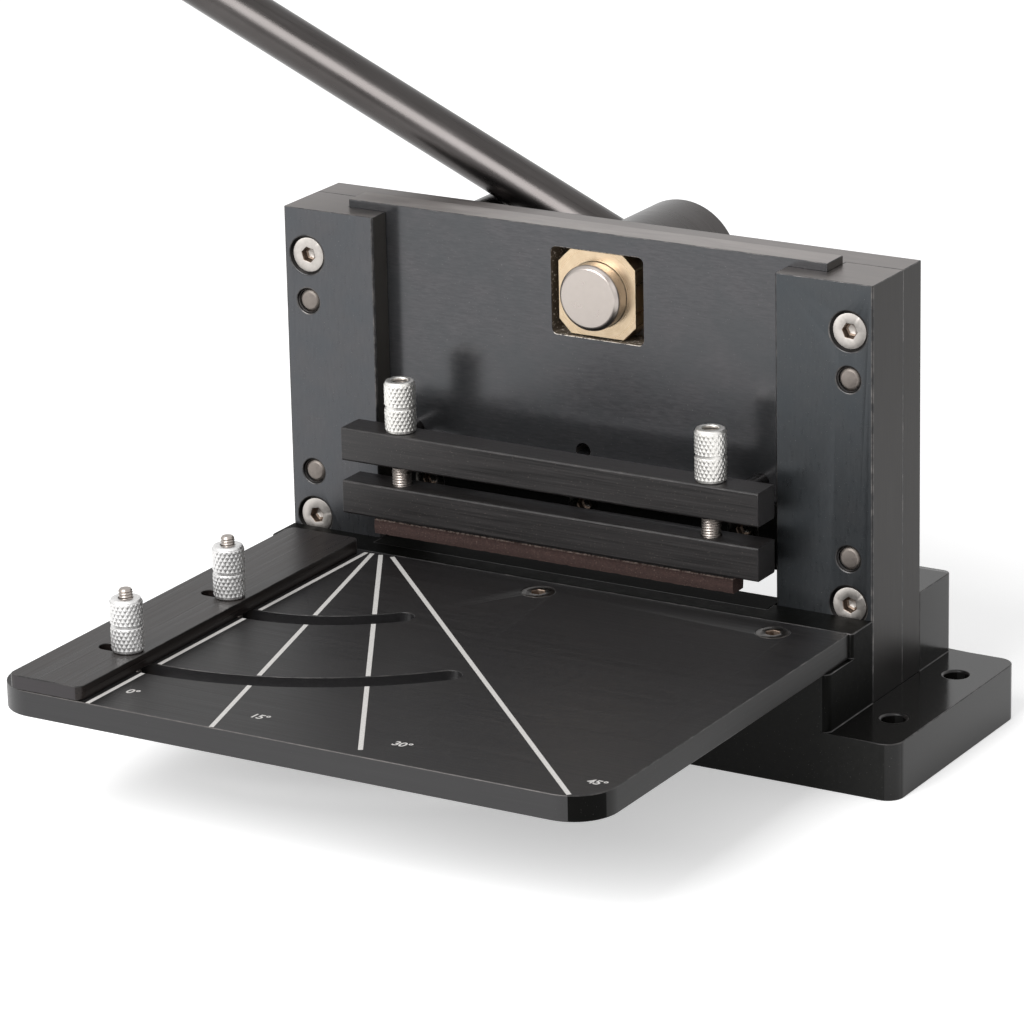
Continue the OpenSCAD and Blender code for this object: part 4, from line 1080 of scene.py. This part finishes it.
def over_slot(point):
    """Whether a point on the table lies over an arc slot or within a line's gap of it."""
    away = (point - SLOT_CENTRE).length
    return any(abs(away - radius) < SLOT_W / 2 + LINE_GAP and point.x < end_x
               for radius, end_x in zip(SLOT_RADII, SLOT_END_X))


def fan_lines():
    """The angle lines, broken where they cross the arc slots."""
    steps = 1600
    shape = bmesh.new()
    for degrees, end_y in FAN_ENDS_Y.items():
        slope = math.tan(math.radians(degrees))
        shift = 0 if degrees else ZERO_LINE_SHIFT
        run = []
        for i in range(steps + 1):
            y = FAN_START_Y + (end_y - FAN_START_Y) * i / steps
            point = Vector((FAN_CENTRE.x + (FAN_CENTRE.y - y) * slope + shift, y))
            clear = not over_slot(point)
            if clear:
                run.append(point)
            if len(run) > 1 and (not clear or i == steps):
                painted_strip(shape, run[0], run[-1])
            if not clear:
                run = []
    bmesh.ops.recalc_face_normals(shape, faces=shape.faces[:])
    mesh = bpy.data.meshes.new("fan_lines")
    shape.to_mesh(mesh)
    shape.free()
    mesh.materials.append(PAINT)
    piece = linked("fan_lines", mesh)
    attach(piece, "frame")


def angle_figures():
    """The degree figures beside the lines' front ends."""
    made = []
    for text, (x, y) in FIGURES.items():
        curve = bpy.data.curves.new("figure", "FONT")
        curve.body = text
        curve.size = FIGURE_SIZE * MM
        curve.shear = FIGURE_LEAN
        curve.offset = FIGURE_WEIGHT * MM
        curve.extrude = LINE_T * MM
        curve.space_character = FIGURE_SPACE
        letter = linked("figure", curve)
        graph = bpy.context.evaluated_depsgraph_get()
        mesh = bpy.data.meshes.new_from_object(letter.evaluated_get(graph))
        mesh.transform(Matrix.Translation((x * MM, y * MM, TABLE_TOP)))
        bpy.data.objects.remove(letter)
        mesh.materials.clear()
        mesh.materials.append(PAINT)
        made.append(linked("figure_" + text[:-1], mesh))
    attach(joined("angle_figures", made), "frame")


fan_lines()
angle_figures()


# The studio

FLOOR_HALF, FLOOR_GLOW, SURROUND_LEVEL = 6.0, 0.45, 0.5


def camera():
    """The photograph's camera, found from the object's straight edges: where it stands in metres,
    its angles in degrees, and its focal length and centre in pixels of the photograph."""
    eye = Vector((0.84665, -1.45465, 0.62688))
    azimuth, elevation, roll = (math.radians(a) for a in (30.204, 17.997, -1.0))
    focal_px, centre_px = 5177.94, (572.80, 484.79)
    image_px, sensor_mm = 1024, 36.0
    back = Vector((
        math.sin(azimuth) * math.cos(elevation), -math.cos(azimuth) * math.cos(elevation),
        math.sin(elevation)))
    right = (-back).cross(UP).normalized()
    up = right.cross(-back)
    tilted_right = right * math.cos(roll) + up * math.sin(roll)
    tilted_up = up * math.cos(roll) - right * math.sin(roll)
    data = bpy.data.cameras.new("camera")
    data.sensor_width = sensor_mm
    data.lens = focal_px / image_px * sensor_mm
    data.shift_x = (image_px / 2 - centre_px[0]) / image_px
    data.shift_y = (centre_px[1] - image_px / 2) / image_px
    data.clip_start, data.clip_end = 0.1, 50
    view = bpy.data.objects.new("camera", data)
    turn = Matrix((tilted_right, tilted_up, back)).transposed().to_4x4()
    view.matrix_world = Matrix.Translation(eye) @ turn
    bpy.context.scene.collection.objects.link(view)
    bpy.context.scene.camera = view


def soft_box(name, place, size, power):
    """A square softbox that faces the object's middle."""
    middle = Vector((0, 0, 0.08))
    data = bpy.data.lights.new(name, "AREA")
    data.shape = "RECTANGLE"
    data.size = data.size_y = size
    data.energy = power
    lamp = bpy.data.objects.new(name, data)
    lamp.location = place
    lamp.rotation_euler = (middle - Vector(place)).to_track_quat("-Z", "Y").to_euler()
    bpy.context.scene.collection.objects.link(lamp)


def seen_directly(tree):
    """1 for the rays that see the backdrop itself, in the camera, in a metal's shine or through glass."""
    path = add(tree, "ShaderNodeLightPath").outputs
    seen = add(tree, "ShaderNodeMath", {0: path["Is Camera Ray"], 1: path["Is Glossy Ray"]},
               operation="MAXIMUM").outputs[0]
    return add(tree, "ShaderNodeMath", {0: seen, 1: path["Is Transmission Ray"]},
               operation="MAXIMUM").outputs[0]


def surround():
    """An even surround: white where it is seen, and dimmer as a light."""
    world = bpy.data.worlds.new("surround")
    bpy.context.scene.world = world
    world.use_nodes = True
    tree = world.node_tree
    level = add(tree, "ShaderNodeMapRange", {
        "Value": seen_directly(tree), "To Min": SURROUND_LEVEL, "To Max": 1.0}).outputs[0]
    backdrop = tree.nodes["Background"]
    backdrop.inputs["Color"].default_value = (1, 1, 1, 1)
    tree.links.new(level, backdrop.inputs["Strength"])


def pale_floor():
    """A pale floor that keeps the object's shadow and glows a little where it is seen."""
    half = FLOOR_HALF
    mesh = bpy.data.meshes.new("floor")
    mesh.from_pydata([(-half, -half, 0), (half, -half, 0), (half, half, 0), (-half, half, 0)], [],
                     [(0, 1, 2, 3)])
    floor = linked("floor", mesh)
    material, tree, shader = blank_material(
        "pale floor", Roughness=0.9, Specular_IOR_Level=0.0, Emission_Color=(1, 1, 1, 1))
    shade = grain(tree, (400, 400, 400), seed=3)
    tone = add(tree, "ShaderNodeMix", {0: shade, 6: linear("#f4f4f4"), 7: linear("#f8f8f8")},
               data_type="RGBA").outputs[2]
    glow = add(tree, "ShaderNodeMath", {0: seen_directly(tree), 1: FLOOR_GLOW},
               operation="MULTIPLY").outputs[0]
    tree.links.new(tone, shader.inputs["Base Color"])
    tree.links.new(glow, shader.inputs["Emission Strength"])
    mesh.materials.append(material)


camera()
surround()
pale_floor()
soft_box("key", (-0.3, -1.5, 1.3), size=1.2, power=36)
soft_box("fill", (1.5, -1.0, 0.9), size=0.9, power=2)
bpy.context.scene.view_settings.view_transform = "Standard"
